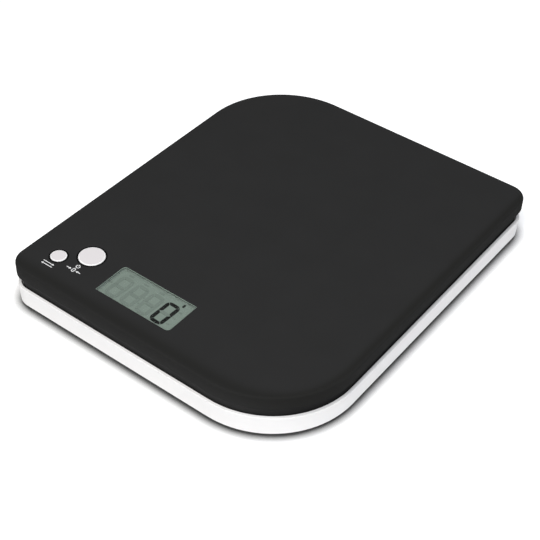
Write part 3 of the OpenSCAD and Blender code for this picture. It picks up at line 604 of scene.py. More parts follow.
def round_the_front(finish):
    """How a place lies to the cover's front and right edges: its distance, and the share of the front.

    q is how far the place lies past the middle of the large corner's arc, to the right and to the front and
    not less than 0. The corner's radius less the length of q is the distance. The share is the square of q's
    part to the front over its length: 0 along the right side, 1 along the front and between them round the
    corner.
    """
    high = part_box("platform_cover")[1]
    start = (COVER_CORNER - high.x, COVER_CORNER - high.y, 0)
    past = finish.node("VectorMath", (finish.place, (1, -1, 0), start), operation="MULTIPLY_ADD")
    q = finish.node("VectorMath", (past, (0, 0, 0)), operation="MAXIMUM")
    length = finish.node("VectorMath", (q,), "Value", operation="LENGTH")
    forwards = finish.node("SeparateXYZ", (q,), "Y")
    part = finish.node("Math", (forwards, length), operation="DIVIDE")
    share = finish.node("Math", (part, 2.0), operation="POWER")
    return finish.node("Math", (COVER_CORNER, length), operation="SUBTRACT"), share


def front_share(finish, distance, share):
    """How much a place belongs to the front: the square of its share, which fades with the distance."""
    near = finish.node("MapRange", (distance, *FRONT_FADE, 1, 0))
    square = finish.node("Math", (share, 2.0), operation="POWER")
    return finish.node("Math", (near, square), operation="MULTIPLY")


def painted_edge_shade(finish, distance, share):
    """Strength of the painted shade: a darker band along the cover's front and right edges.

    It is e to the power of minus the square of (distance - m) / w. The width w goes with the share s of the
    front, and so does the middle m, which is less by s (1 - s) times the bend.
    """
    rest = finish.node("Math", (1.0, share), operation="SUBTRACT")
    bend = finish.node("Math", (share, rest), operation="MULTIPLY")
    less = finish.node("Math", (bend, SHADE_BAND_BEND), operation="MULTIPLY")
    straight = finish.node("MapRange", (share, *WHOLE, *SHADE_BAND_MIDDLE))
    middle = finish.node("Math", (straight, less), operation="SUBTRACT")
    off = finish.node("Math", (distance, middle), operation="SUBTRACT")
    width = finish.node("MapRange", (share, *WHOLE, *SHADE_BAND_WIDTH))
    ratio = finish.node("Math", (off, width), operation="DIVIDE")
    square = finish.node("Math", (ratio, ratio), operation="MULTIPLY")
    minus = finish.node("Math", (square, -1.0), operation="MULTIPLY")
    return finish.node("Math", (minus,), operation="EXPONENT")


def moulded_black_abs(settings):
    """Injection moulded ABS from a spark eroded mould: nearly black, matt and even, with no reflections.

    A soft darker band of painted shade runs along the front and right edges. It is broader at the front. The
    front wall is a little lighter towards its lower edge, as painted light, and the holes for the buttons
    are painted black, as shade in the slits.
    """
    finish = Finish("moulded_black_abs", settings.cover, 0.6, Specular_IOR_Level=0.01)
    dark, light = tones(settings.cover, 0.97, 1.03)
    # painted light: the lighter tone of the cover's front wall towards its lower edge
    wall = rgba(settings.cover, 1.14)
    cloud = finish.node("TexNoise", {"Scale": 1 / (22 * MM), "Detail": 3})
    cloud = finish.node("MapRange", (cloud, *NOISE_ENDS, *WHOLE))
    distance, share = round_the_front(finish)
    # painted shade: a darker band along the front and right edges
    band = painted_edge_shade(finish, distance, share)
    height = finish.node("SeparateXYZ", (finish.place,), "Z")
    low = finish.node("MapRange", (height, *WALL_LIGHT_FADE, 1, 0))
    front = finish.node("Math", (low, front_share(finish, distance, share)), operation="MULTIPLY")
    # painted shade: each button's hole is black, fading to the cover over a ring one slit wide
    rings = [finish.node("MapRange", (off, radius + settings.slit, radius + 2 * settings.slit, 1, 0))
             for off, radius in off_buttons(finish)]
    holes = finish.node("Math", rings, operation="MAXIMUM")
    edge, slit_shade = rgba(settings.edge), rgba(settings.slit_shade)
    # cloud is the plastic's own tone; band and holes are painted shade, front wall tone painted light
    colour = dark
    for part, shade in ((cloud, light), (band, edge), (front, wall), (holes, slit_shade)):
        colour = finish.node("Mix", {0: part, 6: colour, 7: shade}, 2, data_type="RGBA")
    finish.feed("Base Color", colour)
    grain = finish.node("TexNoise", {"Scale": 1 / settings.grain, "Detail": 3})
    finish.vary(grain, roughness=(0.55, 0.66), depth=settings.grain_depth)
    return finish


def moulded_dark_frame(settings):
    """The same ABS in plain black, with the coarser grain of a hidden part. Its front wall is lighter by
    painted light, and the rest darker by painted shade.
    """
    finish = Finish("moulded_dark_frame", settings.neck, 0.7, Specular_IOR_Level=0.08)
    front = front_share(finish, *round_the_front(finish))
    # painted light and shade: lit tone at the front, shaded tone elsewhere
    dark, light = tones(settings.neck, 0.75, 1.5)
    tone = finish.node("Mix", {0: front, 6: dark, 7: light}, 2, data_type="RGBA")
    cloud = finish.node("TexNoise", {"Scale": 1 / (15 * MM)})
    brightness = finish.node("MapRange", (cloud, *NOISE_ENDS, 0.9, 1.1))
    colour = finish.node("VectorMath", {0: tone, 3: brightness}, operation="SCALE")
    finish.feed("Base Color", colour)
    grain = finish.node("TexNoise", {"Scale": 1 / (0.6 * MM), "Detail": 4})
    finish.vary(grain, roughness=(0.62, 0.78), depth=0.02 * MM)
    return finish


def moulded_white_abs(settings):
    """White ABS from a finely stoned mould: satin walls. The underside keeps the mould's coarser grain.

    The rim's upper face, which lies under the platform's edge, is a little greyer by painted shade,
    though not at the front.
    """
    finish = Finish("moulded_white_abs", settings.base, 0.38, IOR=1.53, Specular_IOR_Level=0.25)
    cloud = finish.node("TexNoise", {"Scale": 1 / (30 * MM)})
    cloud = finish.node("MapRange", (cloud, *NOISE_ENDS, *WHOLE))
    height = finish.node("SeparateXYZ", (finish.place,), "Z")
    rim = finish.node("MapRange", (height, *RIM_FACE, *WHOLE))
    front = front_share(finish, *round_the_front(finish))
    elsewhere = finish.node("MapRange", (front, 0, 0.4, 1, 0))
    # painted shade: the rim's upper face under the platform's edge is greyer, except at the front
    grey = finish.node("Math", (rim, elsewhere), operation="MULTIPLY")
    colour = rgba(settings.base, 0.98)
    for part, shade in ((cloud, rgba(settings.base)), (grey, rgba(settings.base, 0.8))):
        colour = finish.node("Mix", {0: part, 6: colour, 7: shade}, 2, data_type="RGBA")
    finish.feed("Base Color", colour)
    underneath = finish.node("MapRange", (height, *UNDERSIDE, 1, 0))
    finish.vary(underneath, roughness=(0.36, 0.58), ends=WHOLE)
    peel = finish.node("TexNoise", {"Scale": 1 / (1.8 * MM)})
    soft = finish.node("Bump", {"Height": peel, "Distance": 0.004 * MM})
    eroded = finish.node("TexNoise", {"Scale": 1 / (0.45 * MM), "Detail": 3})
    rough = finish.node("Math", (eroded, underneath), operation="MULTIPLY")
    finish.feed("Normal", finish.node("Bump", {"Height": rough, "Distance": 0.03 * MM, "Normal": soft}))
    return finish


def moulded_rubber(settings):
    """Grey thermoplastic rubber, moulded: dull, a little dusty, with fine pores."""
    finish = Finish("moulded_foot_rubber", settings.foot, 0.85, Specular_IOR_Level=0.3)
    dust = finish.node("TexNoise", {"Scale": 1 / (1.6 * MM), "Detail": 4})
    finish.vary(dust, tones(settings.foot, 0.86, 1.2), roughness=(0.78, 0.93))
    pores = finish.node("TexVoronoi", {"Scale": 1 / (0.5 * MM)}, "Distance")
    finish.vary(pores, depth=0.03 * MM)
    return finish


class DressCasings(bpy.types.Operator):
    """Gives the cover, the frame, the base, the battery cap and the feet their moulded finishes."""

    bl_idname = "kitchen_scale.dress_casings"
    bl_label = "Dress the casings"

    def execute(self, context):
        settings = context.scene.scale_casing
        dress("black_casing", moulded_black_abs(settings))
        dress("dark_frame", moulded_dark_frame(settings))
        dress("white_casing", moulded_white_abs(settings))
        dress("foot_rubber", moulded_rubber(settings))
        return {"FINISHED"}


# Buttons


# The buttons' light edge is a painted highlight
RIM_BLUR = 0.15 * MM  # the light edge starts this far before and ends this far after its width
# A button's dark side down in the cover is painted shade
SUNK_DEPTH = 0.22 * MM  # height above the cover over which a button's side turns light


def polished_button_abs(settings):
    """White ABS from a polished mould: a smooth, faintly warm face with a painted highlight round its edge.

    The distance from the middle of a button picks the face's colour or the edge's painted highlight.
    The side, down in the slit of the cover, is painted dark, as shade.
    """
    finish = Finish("polished_button_abs", settings.face, 0.3, IOR=1.53, Specular_IOR_Level=0.35)
    # painted highlight: a lighter ring at each button's round edge
    highlight_rings = []
    for distance, radius in off_buttons(finish):
        inner = radius - settings.rim_width
        near = finish.node("MapRange", (distance, inner - RIM_BLUR, inner + RIM_BLUR, *WHOLE))
        own = finish.node("Math", (distance, radius + BUTTON_FLANGE), operation="LESS_THAN")
        highlight_rings.append(finish.node("Math", (near, own), operation="MULTIPLY"))
    rim = finish.node("Math", highlight_rings, operation="MAXIMUM")
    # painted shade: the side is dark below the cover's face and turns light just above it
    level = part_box("platform_cover")[1].z
    height = finish.node("SeparateXYZ", (finish.place,), "Z")
    side_shade = finish.node("MapRange", (height, level, level + SUNK_DEPTH, 1, 0))
    colour = rgba(settings.face)
    for part, shade in ((rim, settings.rim), (side_shade, settings.side)):
        colour = finish.node("Mix", {0: part, 6: colour, 7: rgba(shade)}, 2, data_type="RGBA")
    finish.feed("Base Color", colour)
    finish.vary(finish.node("TexNoise", {"Scale": 1 / (1.5 * MM)}), depth=0.004 * MM)
    finish.vary(finish.node("TexNoise", {"Scale": 1 / (4 * MM)}), roughness=(0.27, 0.34))
    return finish


class DressButtons(bpy.types.Operator):
    """Gives the two push buttons their finish."""

    bl_idname = "kitchen_scale.dress_buttons"
    bl_label = "Dress the buttons"

    def execute(self, context):
        dress("white_button", polished_button_abs(context.scene.scale_button))
        return {"FINISHED"}


# Display


LENS_FLANGE = 1.5 * MM  # how far the window's flange, hidden under the cover, reaches past its face
WINDOW_ROUND, WINDOW_SHARP = 2.2 * MM, 0.3 * MM  # radii of the window's corners
# The window's opaque light edges are painted light over the shade of its well
LIGHT_EDGE_WIDTH = 0.03 * MM  # how far the frosted edge reaches in over the window
# The border on the front glass is painted light over the shade at the window's edges
BORDER_STRETCH = 1.35  # how much broader the printed border is at the window's front and back
LENS_VEIL, GLASS_VEIL = 0.006, 0.004  # how little of the window and of the glass the eye sees


def past_window(finish, inset):
    """1 where a place lies outside the window's outline, drawn in by the inset along X and Y, and else 0.

    Off the middle, q is how far the place lies past the middle of its corner's arc, along X and Y and not
    less than 0. The place is outside where q is longer than the corner's radius. The front right and back
    left corners, where x times y is less than 0, are the round ones.
    """
    low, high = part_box("display_lens")
    offs = []
    for i, axis in enumerate("XY"):
        at = finish.node("SeparateXYZ", (finish.place,), axis)
        offs.append(finish.node("Math", (at, (low[i] + high[i]) / 2), operation="SUBTRACT"))
    product = finish.node("Math", offs, operation="MULTIPLY")
    radius = finish.node("MapRange", (product, -MM * MM, MM * MM, WINDOW_ROUND, WINDOW_SHARP))
    squares = []
    for i, off in enumerate(offs):
        half = (high[i] - low[i]) / 2 - LENS_FLANGE - inset[i]
        far = finish.node("Math", (off,), operation="ABSOLUTE")
        over = finish.node("Math", (far, half), operation="SUBTRACT")
        past = finish.node("Math", (over, radius), operation="ADD")
        part = finish.node("Math", (past, 0.0), operation="MAXIMUM")
        squares.append(finish.node("Math", (part, 2.0), operation="POWER"))
    total = finish.node("Math", squares, operation="ADD")
    length = finish.node("Math", (total,), operation="SQRT")
    return finish.node("Math", (length, radius), operation="GREATER_THAN")


def clear_acrylic(settings):
    """Clear moulded acrylic over the display: nearly invisible, with a soft gloss. Its edges are opaque and
    light, painted light that hides the shade in the window's well.
    """
    finish = Finish("clear_moulded_acrylic", settings.window, 0.12, IOR=1.49)
    # painted light: past its outline the window is opaque in the light window tint
    frosted = past_window(finish, (LIGHT_EDGE_WIDTH, LIGHT_EDGE_WIDTH))
    finish.feed("Alpha", finish.node("MapRange", (frosted, *WHOLE, LENS_VEIL, 1)))
    finish.vary(finish.node("TexNoise", {"Scale": 1 / (3 * MM)}), depth=0.003 * MM)
    return finish


def display_glass(settings):
    """Float glass of the display: clear and flat, with a narrow opaque border in a light panel colour,
    painted light that hides the shade at the window's edges.
    """
    finish = Finish("polished_display_glass", settings.border, 0.3, IOR=1.52, Specular_IOR_Level=0.1)
    # painted light: an opaque border at the window's edges, lighter than the panel to hide the shade
    printed = past_window(finish, (settings.border_width, settings.border_width * BORDER_STRETCH))
    finish.feed("Alpha", finish.node("MapRange", (printed, *WHOLE, GLASS_VEIL, 1)))
    mottle = finish.node("TexNoise", {"Scale": 1 / (0.3 * MM), "Detail": 1})
    finish.vary(mottle, tones(settings.border, 0.97, 1.03))
    return finish


def film_backed_glass(settings):
    """Rear glass with its reflecting film, seen as one: grey green and matt, with a fine sparkle."""
    finish = Finish("film_backed_display_glass", settings.panel, 0.5, Specular_IOR_Level=0.1)
    sparkle = finish.node("TexNoise", {"Scale": 1 / (0.3 * MM), "Detail": 1})
    finish.vary(sparkle, tones(settings.panel, 0.97, 1.03), roughness=(0.45, 0.6))
    return finish


def display_bars(name, colour, contrast):
    """Liquid crystal bars: dark stain with soft, slightly uneven density."""
    finish = Finish(name, colour, 0.5, Specular_IOR_Level=0.1)
    cloud = finish.node("TexNoise", {"Scale": 1 / (0.5 * MM)})
    finish.vary(cloud, tones(colour, 1 - contrast, 1 + contrast))
    return finish


def reflecting_film(settings):
    """Grey green reflecting film behind the display: matt, with the fine sparkle of its metal pigment."""
    finish = Finish("pigmented_reflecting_film", settings.panel, 0.55, Specular_IOR_Level=0.2)
    sparkle = finish.node("TexNoise", {"Scale": 1 / (0.3 * MM), "Detail": 1})
    finish.vary(sparkle, tones(settings.panel, 0.96, 1.04), roughness=(0.45, 0.65))
    return finish


def moulded_holder():
    """Cream white nylon of the display's holder: satin, with faint flow marks."""
    finish = Finish("moulded_holder_nylon", srgb("E9E7DE"), 0.45, IOR=1.53)
    flow = finish.streaks(3 * MM, (6, 1, 1))
    finish.vary(flow, (rgba(srgb("E3E0D5")), rgba(srgb("EDEBE3"))), depth=0.01 * MM)
    return finish


def layered_strip():
    """Elastomer strip of a display: pink silicone round a core of thin black and clear layers."""
    finish = Finish("layered_contact_silicone", srgb("D9A3A0"), 0.5)
    # The real layers lie 0.1 mm apart, and are drawn at 0.5 mm so that they show
    layers = finish.node("TexWave", {"Scale": WAVE / (0.5 * MM)}, "Fac", bands_direction="X")
    finish.vary(layers, (rgba(srgb("D9A3A0")), rgba(srgb("3A2F2F"))), ends=(0.45, 0.55))
    return finish


def die_cut_foam():
    """Black foam tape, die cut: open cells with soft edges, no gloss."""
    finish = Finish("die_cut_foam_tape", srgb("161616"), 0.95, Specular_IOR_Level=0.1)
    cells = finish.node("TexVoronoi", {"Scale": 1 / (0.35 * MM)}, "Distance")
    finish.vary(cells, (rgba(srgb("0E0E0E")), rgba(srgb("262626"))), depth=0.08 * MM, ends=WHOLE)
    return finish


class DressDisplay(bpy.types.Operator):
    """Gives the window, the display's layers, its holder, tape and contact strips their finishes."""

    bl_idname = "kitchen_scale.dress_display"
    bl_label = "Dress the display"

    def execute(self, context):
        settings = context.scene.scale_display
        dress("lens_acrylic", clear_acrylic(settings))
        dress("display_glass", display_glass(settings))
        dress_node("lcd_rear_glass", film_backed_glass(settings))
        dress("display_ink", display_bars("lit_crystal_bars", settings.ink, 0.1))
        dress("display_faint", display_bars("faint_crystal_bars", settings.faint, 0.03))
        dress("reflector_film", reflecting_film(settings))
        dress("holder_plastic", moulded_holder())
        dress("contact_strip", layered_strip())
        dress("foam_tape", die_cut_foam())
        return {"FINISHED"}


# Printed marks


def printed_ink(settings):
    """White pad printed ink: opaque, matt, with the slight mottle of a thin coat."""
    finish = Finish("pad_printed_white_ink", settings.ink, 0.55)
    mottle = finish.node("TexNoise", {"Scale": 1 / (0.25 * MM)})
    finish.vary(mottle, tones(settings.ink, 0.93, 1))
    return finish


class PrintMarks(bpy.types.Operator):
    """Prints the marks: start and zero in front of the large button, change in front of the small one."""

    bl_idname = "kitchen_scale.print_marks"
    bl_label = "Print the marks"

    # From the middle of a button to the middle of a mark, in millimetres
    start_off, zero_off, change_off = (-0.2, -9.8), (-0.35, -13.0), (-0.35, -7.45)

    sink = 0.02 * MM  # how far the ink reaches into the cover
    head_length = 1.3 * MM  # of an arrow

    # The start mark's ring, its opening's two ends in degrees, and where its bar starts and ends
    ring_radius, ring_from, ring_to = 1.0 * MM, 125, 415
    bar_from, bar_to = 0.35 * MM, 1.5 * MM

    # Half the nought's width and height, and where the arrows that point at it start and end
    nought = (0.75 * MM, 1.25 * MM)
    arrow_from, arrow_to, zero_head = 4.5 * MM, 1.5 * MM, 1.5 * MM

    # Half the length of the change mark's arrows, half the space between them and the width of their heads
    change_reach, change_space, change_head = 3.6 * MM, 0.85 * MM, 1.4 * MM

    def execute(self, context):
        settings = context.scene.scale_mark
        material = printed_ink(settings).material
        ink = {"face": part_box("platform_cover")[1].z, "height": settings.height, "sink": self.sink}
        for name, draw, button, off in (
            ("printed_start_mark", self.start_mark, "on_zero_button", self.start_off),
            ("printed_zero_mark", self.zero_mark, "on_zero_button", self.zero_off),
            ("printed_change_mark", self.change_mark, "unit_button", self.change_off),
        ):
            shapes = draw(middle_of(button) + np.array(off) * MM, settings.width, ink)
            put(name, *joined(shapes), "platform", "white_button", material)
        return {"FINISHED"}

    def start_mark(self, middle, width, ink):
        """A ring that is open at the back, and a bar in the opening."""
        ring = arc(middle, self.ring_radius, self.ring_from, self.ring_to)
        bar = line(middle + (0, self.bar_from), middle + (0, self.bar_to), width)
        return [stroke(ring, width, **ink), stroke(*bar, **ink)]

    def zero_mark(self, middle, width, ink):
        """An oval nought between two arrows that point at it."""
        shapes = [stroke(loop(middle, self.nought), width, closed=True, **ink)]
        for side in (-1, 1):
            far, near = middle + (side * self.arrow_from, 0), middle + (side * self.arrow_to, 0)
            shapes.append(stroke(*arrow(far, near, width, self.zero_head, self.head_length), **ink))
        return shapes

    def change_mark(self, middle, width, ink):
        """Two arrows that point opposite ways, one over the other."""
        shapes = []
        for side in (-1, 1):
            tail = middle + (-side * self.change_reach, side * self.change_space)
            tip = middle + (side * self.change_reach, side * self.change_space)
            shapes.append(stroke(*arrow(tail, tip, width, self.change_head, self.head_length), **ink))
        return shapes


# Underside


def satin_film():
    """Silver polyester film of a bare plate: satin, with fine brushed lines."""
    finish = Finish("satin_polyester_film", srgb("C9CBCC"), 0.35, Metallic=0.6)
    finish.vary(finish.streaks(0.3 * MM, (60, 1, 1)), roughness=(0.3, 0.45), depth=0.002 * MM)
    return finish


class MouldUnderside(bpy.types.Operator):
    """Adds turn marks at the battery cap, the mould's witness marks and a bare plate to the underside."""

    bl_idname = "kitchen_scale.mould_underside"
    bl_label = "Mould the underside"

    sink = 0.1 * MM  # how far a moulded mark reaches into the base

    # The turn marks lie on a circle round the cap's axis, at these angles in degrees
    turn_radius = 18.2 * MM
    arrow_from, arrow_to, ring_at, dot_at = 64, 28, 76, 18
    ring_radius, dot_length, dot_width = 1.3 * MM, 2.3 * MM, 2.2 * MM
    head_points, head_width = 8, 4  # points of the arrow's head, and its width over the line's

    # The ejector pins' marks: their places and sizes
    pins_x, pins_y = (-66 * MM, 0, 66 * MM), (-60 * MM, 62 * MM)
    pin_radius, pin_line, pin_relief = 3 * MM, 0.25 * MM, 0.05 * MM

    # The plate: its middle, its corners' radius, its round edge, and how far it stands out and lies in
    plate_at = (42 * MM, -34 * MM)
    plate_corner, plate_edge = 2.5 * MM, 0.05 * MM
    plate_out, plate_in = 0.15 * MM, 0.02 * MM

    def execute(self, context):
        settings = context.scene.scale_underside
        white = frame["nodes"]["base_shell"].material_slots[0].material
        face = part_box("base_shell")[0].z
        mark = {"face": face, "height": -settings.relief, "sink": self.sink}
        turn_marks = self.turn_marks(middle_of("battery_cap"), settings.width, mark)
        put("moulded_turn_marks", *joined(turn_marks), "base", "white_casing", white)
        put("moulded_witness_marks", *joined(self.witness_marks(mark)), "base", "white_casing", white)
        size = (settings.plate_width, settings.plate_depth)
        outline = round_box_path(self.plate_at, size, self.plate_corner)
        shape = plate(outline, face - self.plate_out, face + self.plate_in, self.plate_edge)
        put("blank_rating_plate", *shape, "base", "white_casing", satin_film().material)
        return {"FINISHED"}

    def turn_marks(self, cap, width, mark):
        """An arrow on an arc round the cap, a ring where the cap lifts off and a dot where it locks."""
        path = arc(cap, self.turn_radius, self.arrow_from, self.arrow_to)
        widths = np.full(len(path), width)
        widths[-self.head_points:] = width * np.linspace(self.head_width, 0.05, self.head_points)
        ring, dot = (arc(cap, self.turn_radius, at, at, 1)[0] for at in (self.ring_at, self.dot_at))
        half = np.array([self.dot_length / 2, 0])
        return [stroke(path, widths, **mark),
                stroke(loop(ring, self.ring_radius, 32), width * 0.8, closed=True, **mark),
                stroke(*line(dot - half, dot + half, self.dot_width), **mark)]

    def witness_marks(self, mark):
        """Thin rings where the mould's ejector pins stood."""
        thin = dict(mark, height=-self.pin_relief)
        return [stroke(loop((x, y), self.pin_radius, 40), self.pin_line, closed=True, **thin)
                for x in self.pins_x for y in self.pins_y]


# Mechanism


def milled_aluminium(settings):
    """Aluminium bar, extruded and milled: bright, with fine tool lines across it."""
    finish = Finish("milled_aluminium", settings.aluminium, 0.32, Metallic=1.0)
    lines = finish.streaks(0.25 * MM, (40, 1, 1), detail=3)
    finish.vary(lines, tones(settings.aluminium, 0.93, 1), roughness=(0.26, 0.42), depth=0.004 * MM)
    return finish


def zinc_plated_steel(name, settings, size):
    """Zinc plated steel: bluish bright metal with the cloudy spangle of the bath, in patches of a size."""
    finish = Finish(name, settings.zinc, 0.35, Metallic=1.0)
    patches = finish.node("TexVoronoi", {"Scale": 1 / size}, "Color")
    tone = finish.node("SeparateColor", (patches,))
    finish.vary(tone, tones(settings.zinc, 0.9, 1.06), roughness=(0.28, 0.42), ends=WHOLE)
    finish.vary(finish.node("TexNoise", {"Scale": 1 / (0.4 * MM)}), depth=0.006 * MM)
    return finish


def etched_gauge_foil():
    """Etched constantan grid on amber polyimide film: fine metal lines on a warm brown ground."""
    finish = Finish("etched_gauge_foil", srgb("B5702F"), 0.35)
    # The real grid lines lie 0.1 mm apart, and are drawn at 0.5 mm so that they show
    lines = finish.node("TexWave", {"Scale": WAVE / (0.5 * MM)}, "Fac", bands_direction="X")
    shades = rgba(srgb("A9651F")), rgba(srgb("D0A878"))
    finish.vary(lines, shades, roughness=(0.45, 0.28), ends=(0.4, 0.6))
    return finish


def poured_silicone():
    """White silicone poured over the gauges: wet looking, with the soft swells of a hand poured bead."""
    finish = Finish("poured_white_silicone", srgb("E4E3DE"), 0.25, IOR=1.41)
    swell = finish.node("TexNoise", {"Scale": 1 / (3 * MM), "Detail": 1})
    finish.vary(swell, (rgba(srgb("DAD9D2")), rgba(srgb("ECEBE7"))), depth=0.25 * MM)
    return finish


def copy_solid(node, name, finish):
    """A copy of a solid of the frame with its loose triangles merged, which takes that solid's place."""
    shape = bmesh.new()
    shape.from_mesh(frame["nodes"][node].data)
    bmesh.ops.remove_doubles(shape, verts=shape.verts, dist=1e-6)
    mesh = bpy.data.meshes.new(name)
    shape.to_mesh(mesh)
    shape.free()
    piece = show(name, mesh, finish.material, 30)
    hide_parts(node)
    return piece


class DressMechanism(bpy.types.Operator):
    """Gives the load cell, its plates, its gauges with their coating and all screws their finishes.

    The load cell, the gauges and the coating are cut across through the stretch where the bar bends.
    """

    bl_idname = "kitchen_scale.dress_mechanism"
    bl_label = "Dress the mechanism"

    # The bar bends over its window, from this far behind its middle to as far in front of it
    bend_from = 13 * MM
    cuts = 14

    def execute(self, context):
        settings = context.scene.scale_metal
        dress("steel_plate", zinc_plated_steel("zinc_plated_plate", settings, 4 * MM))
        dress("steel_screw", zinc_plated_steel("zinc_plated_screws", settings, 0.8 * MM))
        for node, slot, finish in (
            ("load_cell", "cell_aluminium", milled_aluminium(settings)),
            ("strain_gauges", "gauge_foil", etched_gauge_foil()),
            ("gauge_coating", "silicone_coating", poured_silicone()),
        ):
            piece = copy_solid(node, f"bending_{node}", finish)
            self.cut_across(piece)
            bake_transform(piece)
        return {"FINISHED"}

    def cut_across(self, piece):
        """Cuts a piece by upright planes through the bending stretch, so that it can bend there."""
        shape = bmesh.new()
        shape.from_mesh(piece.data)
        for y in np.linspace(-self.bend_from, self.bend_from, self.cuts):
            everything = [*shape.verts, *shape.edges, *shape.faces]
            plane = {"plane_co": (0, y, 0), "plane_no": (0, 1, 0)}
            bmesh.ops.bisect_plane(shape, geom=everything, dist=1e-7, **plane)
        shape.to_mesh(piece.data)
        shape.free()


# Battery


def nickel_plated_can(settings):
    """Nickel plated steel can of a coin cell: bright, with rings from turning about its axis."""
    finish = Finish("nickel_plated_can", settings.nickel, 0.25, Metallic=1.0)
    x, y = middle_of("coin_cell")
    centred = finish.node("Mapping", {"Vector": finish.place, "Location": (-x, -y, 0)})
    wave = {"Vector": centred, "Scale": WAVE / (0.4 * MM), "Distortion": 1.5}
    rings = finish.node("TexWave", wave, "Fac", wave_type="RINGS", rings_direction="Z")
    finish.vary(rings, roughness=(0.2, 0.34), depth=0.002 * MM, ends=WHOLE)
    cloud = finish.node("TexNoise", {"Scale": 1 / (5 * MM)})
    finish.vary(cloud, tones(settings.nickel, 0.93, 1.03), ends=WHOLE)
    return finish


def plated_bronze(settings):
    """Spring bronze strip, rolled and plated: warm metal with fine rolling lines."""
    finish = Finish("plated_spring_bronze", settings.contact, 0.3, Metallic=1.0)
    finish.vary(finish.streaks(0.15 * MM, (1, 30, 1)), roughness=(0.22, 0.4), depth=0.003 * MM)
    return finish


class DressBattery(bpy.types.Operator):
    """Gives the coin cell and its contacts their finishes."""

    bl_idname = "kitchen_scale.dress_battery"
    bl_label = "Dress the battery"

    def execute(self, context):
        settings = context.scene.scale_metal
        dress("cell_can", nickel_plated_can(settings))
        dress("contact_metal", plated_bronze(settings))
        return {"FINISHED"}


# Electronics


def masked_laminate(settings):
    """Glass fibre board under green solder mask: satin, with copper tracks that show lighter through it."""
    finish = Finish("solder_masked_laminate", settings.mask, 0.35)
    squares = {"Scale": 1 / (5 * MM), "Randomness": 0.8}
    cells = finish.node("TexVoronoi", squares, "Distance", feature="F1", distance="CHEBYCHEV")
    tracks_in_cell = 6.0
    bands = finish.node("Math", (cells, tracks_in_cell), operation="MULTIPLY")
    bands = finish.node("Math", (bands,), operation="FRACT")
    tracks = finish.node("MapRange", (bands, 0.5, 0.56, *WHOLE))
    finish.vary(tracks, (rgba(settings.mask), rgba(settings.track)), depth=0.03 * MM, ends=WHOLE)
    finish.vary(finish.node("TexNoise", {"Scale": 1 / (1 * MM)}), roughness=(0.3, 0.42))
    return finish


def cured_resin():
    """Drop of black epoxy over the chip: glossy, with a soft uneven swell."""
    finish = Finish("cured_black_epoxy", srgb("0D0D0E"), 0.22)
    finish.vary(finish.node("TexNoise", {"Scale": 1 / (0.8 * MM)}), roughness=(0.16, 0.34))
    finish.vary(finish.node("TexNoise", {"Scale": 1 / (4 * MM), "Detail": 1}), depth=0.2 * MM)
    return finish


def fired_ceramic():
    """Fired ceramic of the chip capacitors and resistors: sandy brown and dull, with a fine uneven skin."""
    finish = Finish("fired_chip_ceramic", srgb("9C8566"), 0.4)
    tone = finish.node("TexNoise", {"Scale": 1 / (1.2 * MM)})
    finish.vary(tone, (rgba(srgb("8A7354")), rgba(srgb("B39C7C"))))
    finish.vary(finish.node("TexNoise", {"Scale": 1 / (0.2 * MM)}), depth=0.01 * MM)
    return finish


def moulded_switch(name, text, size):
    """Filled nylon or acetal of a switch: dull, with short fibres just under the skin."""
    finish = Finish(name, srgb(text), 0.55)
    fibres = finish.streaks(size, (1, 4, 1), detail=4)
    finish.vary(fibres, tones(srgb(text), 0.85, 1.15), depth=0.008 * MM)
    return finish


class DressElectronics(bpy.types.Operator):
    """Gives the board and its parts their finishes."""

    bl_idname = "kitchen_scale.dress_electronics"
    bl_label = "Dress the electronics"

    def execute(self, context):
        dress("board_laminate", masked_laminate(context.scene.scale_board))
        dress("chip_resin", cured_resin())
        dress("chip_parts", fired_ceramic())
        dress("switch_body", moulded_switch("moulded_switch_nylon", "1B1B1C", 0.3 * MM))
        dress("plunger_plastic", moulded_switch("moulded_plunger_acetal", "DCD8CB", 0.5 * MM))
        return {"FINISHED"}


# Leads


def extruded_sheath(name, colour):
    """Extruded PVC sheath of a lead: smooth and satin, with faint ripples."""
    finish = Finish(name, colour, 0.38, IOR=1.53)
    ripple = finish.node("TexNoise", {"Scale": 1 / (0.8 * MM)})
    finish.vary(ripple, tones(colour, 0.9, 1.05), depth=0.01 * MM)
    return finish


class LayLeads(bpy.types.Operator):
    """Lays the load cell's four leads and the battery's two, each a smooth tube along its route."""

    bl_idname = "kitchen_scale.lay_leads"
    bl_label = "Lay the leads"

    # Each lead lies in its own upright plane, here as x, and follows its route of y and z. All are
    # millimetres, and the same as in the frame.
    leads = {
        "cell": {"red": 7.95, "black": 9.05, "green": 10.15, "white": 11.25},
        "battery": {"red": -45.0, "black": -41.0},
    }
    routes = {
        "cell": ((-8, 16.2), (-26, 16.2), (-47.9, 16.2), (-55.9, 14.7), (-62.9, 14.9), (-67.9, 15.7),
                 (-71.9, 15.7)),
        "battery": ((-44.4, 9.01), (-49.4, 9.01), (-55.4, 9.7), (-58.4, 12.5), (-63.4, 14.7), (-69.0, 15.4),
                    (-69.9, 16.5), (-69.9, 17.4)),
    }

    def execute(self, context):
        settings = context.scene.scale_lead
        sheaths = {shade: extruded_sheath(f"extruded_{shade}_sheath", getattr(settings, shade))
                   for shade in ("red", "black", "green", "white")}
        for group, planes in self.leads.items():
            for shade, x in planes.items():
                path = eased([(x * MM, y * MM, z * MM) for y, z in self.routes[group]])
                shape = tube(path, settings.diameter / 2)
                piece = put(f"{group}_lead_{shade}", *shape, None, "lead_sheath", sheaths[shade].material)
                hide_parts(f"{group}_leads")
                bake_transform(piece)
        return {"FINISHED"}


# Panel and registration


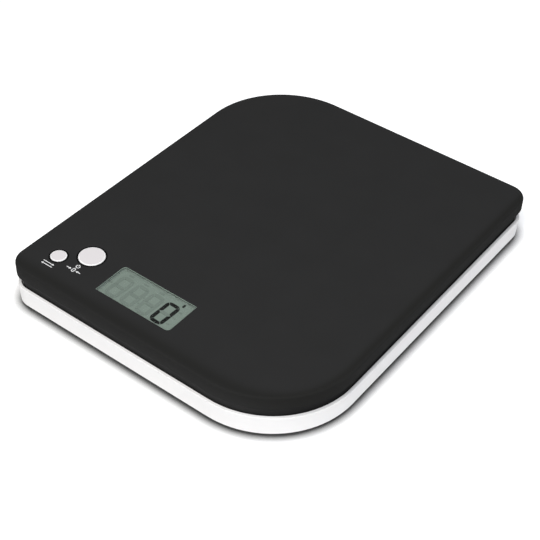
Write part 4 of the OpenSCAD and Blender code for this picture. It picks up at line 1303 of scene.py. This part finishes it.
class ScalePanel(bpy.types.Panel):
    """Lists the steps that dress the scale, with their sizes and colours."""

    bl_idname = "VIEW3D_PT_kitchen_scale"
    bl_label = "Kitchen scale"
    bl_space_type = "VIEW_3D"
    bl_region_type = "UI"
    bl_category = "Kitchen scale"

    def draw(self, context):
        for operator, group in STEPS:
            box = self.layout.box()
            box.operator(operator.bl_idname)
            if group:
                settings = getattr(context.scene, group)
                for name in settings.bl_rna.properties.keys():
                    if name not in ("rna_type", "name"):
                        box.prop(settings, name)


GROUPS = {
    "scale_studio": StudioSettings,
    "scale_casing": CasingSettings,
    "scale_button": ButtonSettings,
    "scale_display": DisplaySettings,
    "scale_mark": MarkSettings,
    "scale_underside": UndersideSettings,
    "scale_metal": MetalSettings,
    "scale_board": BoardSettings,
    "scale_lead": LeadSettings,
}

STEPS = (
    (SetStage, "scale_studio"),
    (DressCasings, "scale_casing"),
    (DressButtons, "scale_button"),
    (DressDisplay, "scale_display"),
    (PrintMarks, "scale_mark"),
    (MouldUnderside, "scale_underside"),
    (DressMechanism, "scale_metal"),
    (DressBattery, None),
    (DressElectronics, "scale_board"),
    (LayLeads, "scale_lead"),
)


def register():
    for group in GROUPS.values():
        bpy.utils.register_class(group)
    for name, group in GROUPS.items():
        setattr(bpy.types.Scene, name, PointerProperty(type=group))
    for operator, _ in STEPS:
        bpy.utils.register_class(operator)
    bpy.utils.register_class(ScalePanel)


def unregister():
    bpy.utils.unregister_class(ScalePanel)
    for operator, _ in reversed(STEPS):
        bpy.utils.unregister_class(operator)
    for name, group in reversed(GROUPS.items()):
        delattr(bpy.types.Scene, name)
        bpy.utils.unregister_class(group)


def main():
    """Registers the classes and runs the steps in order."""
    register()
    bpy.ops.kitchen_scale.set_stage()
    bpy.ops.kitchen_scale.dress_casings()
    bpy.ops.kitchen_scale.dress_buttons()
    bpy.ops.kitchen_scale.dress_display()
    bpy.ops.kitchen_scale.print_marks()
    bpy.ops.kitchen_scale.mould_underside()
    bpy.ops.kitchen_scale.dress_mechanism()
    bpy.ops.kitchen_scale.dress_battery()
    bpy.ops.kitchen_scale.dress_electronics()
    bpy.ops.kitchen_scale.lay_leads()


if __name__ == "__main__":
    main()
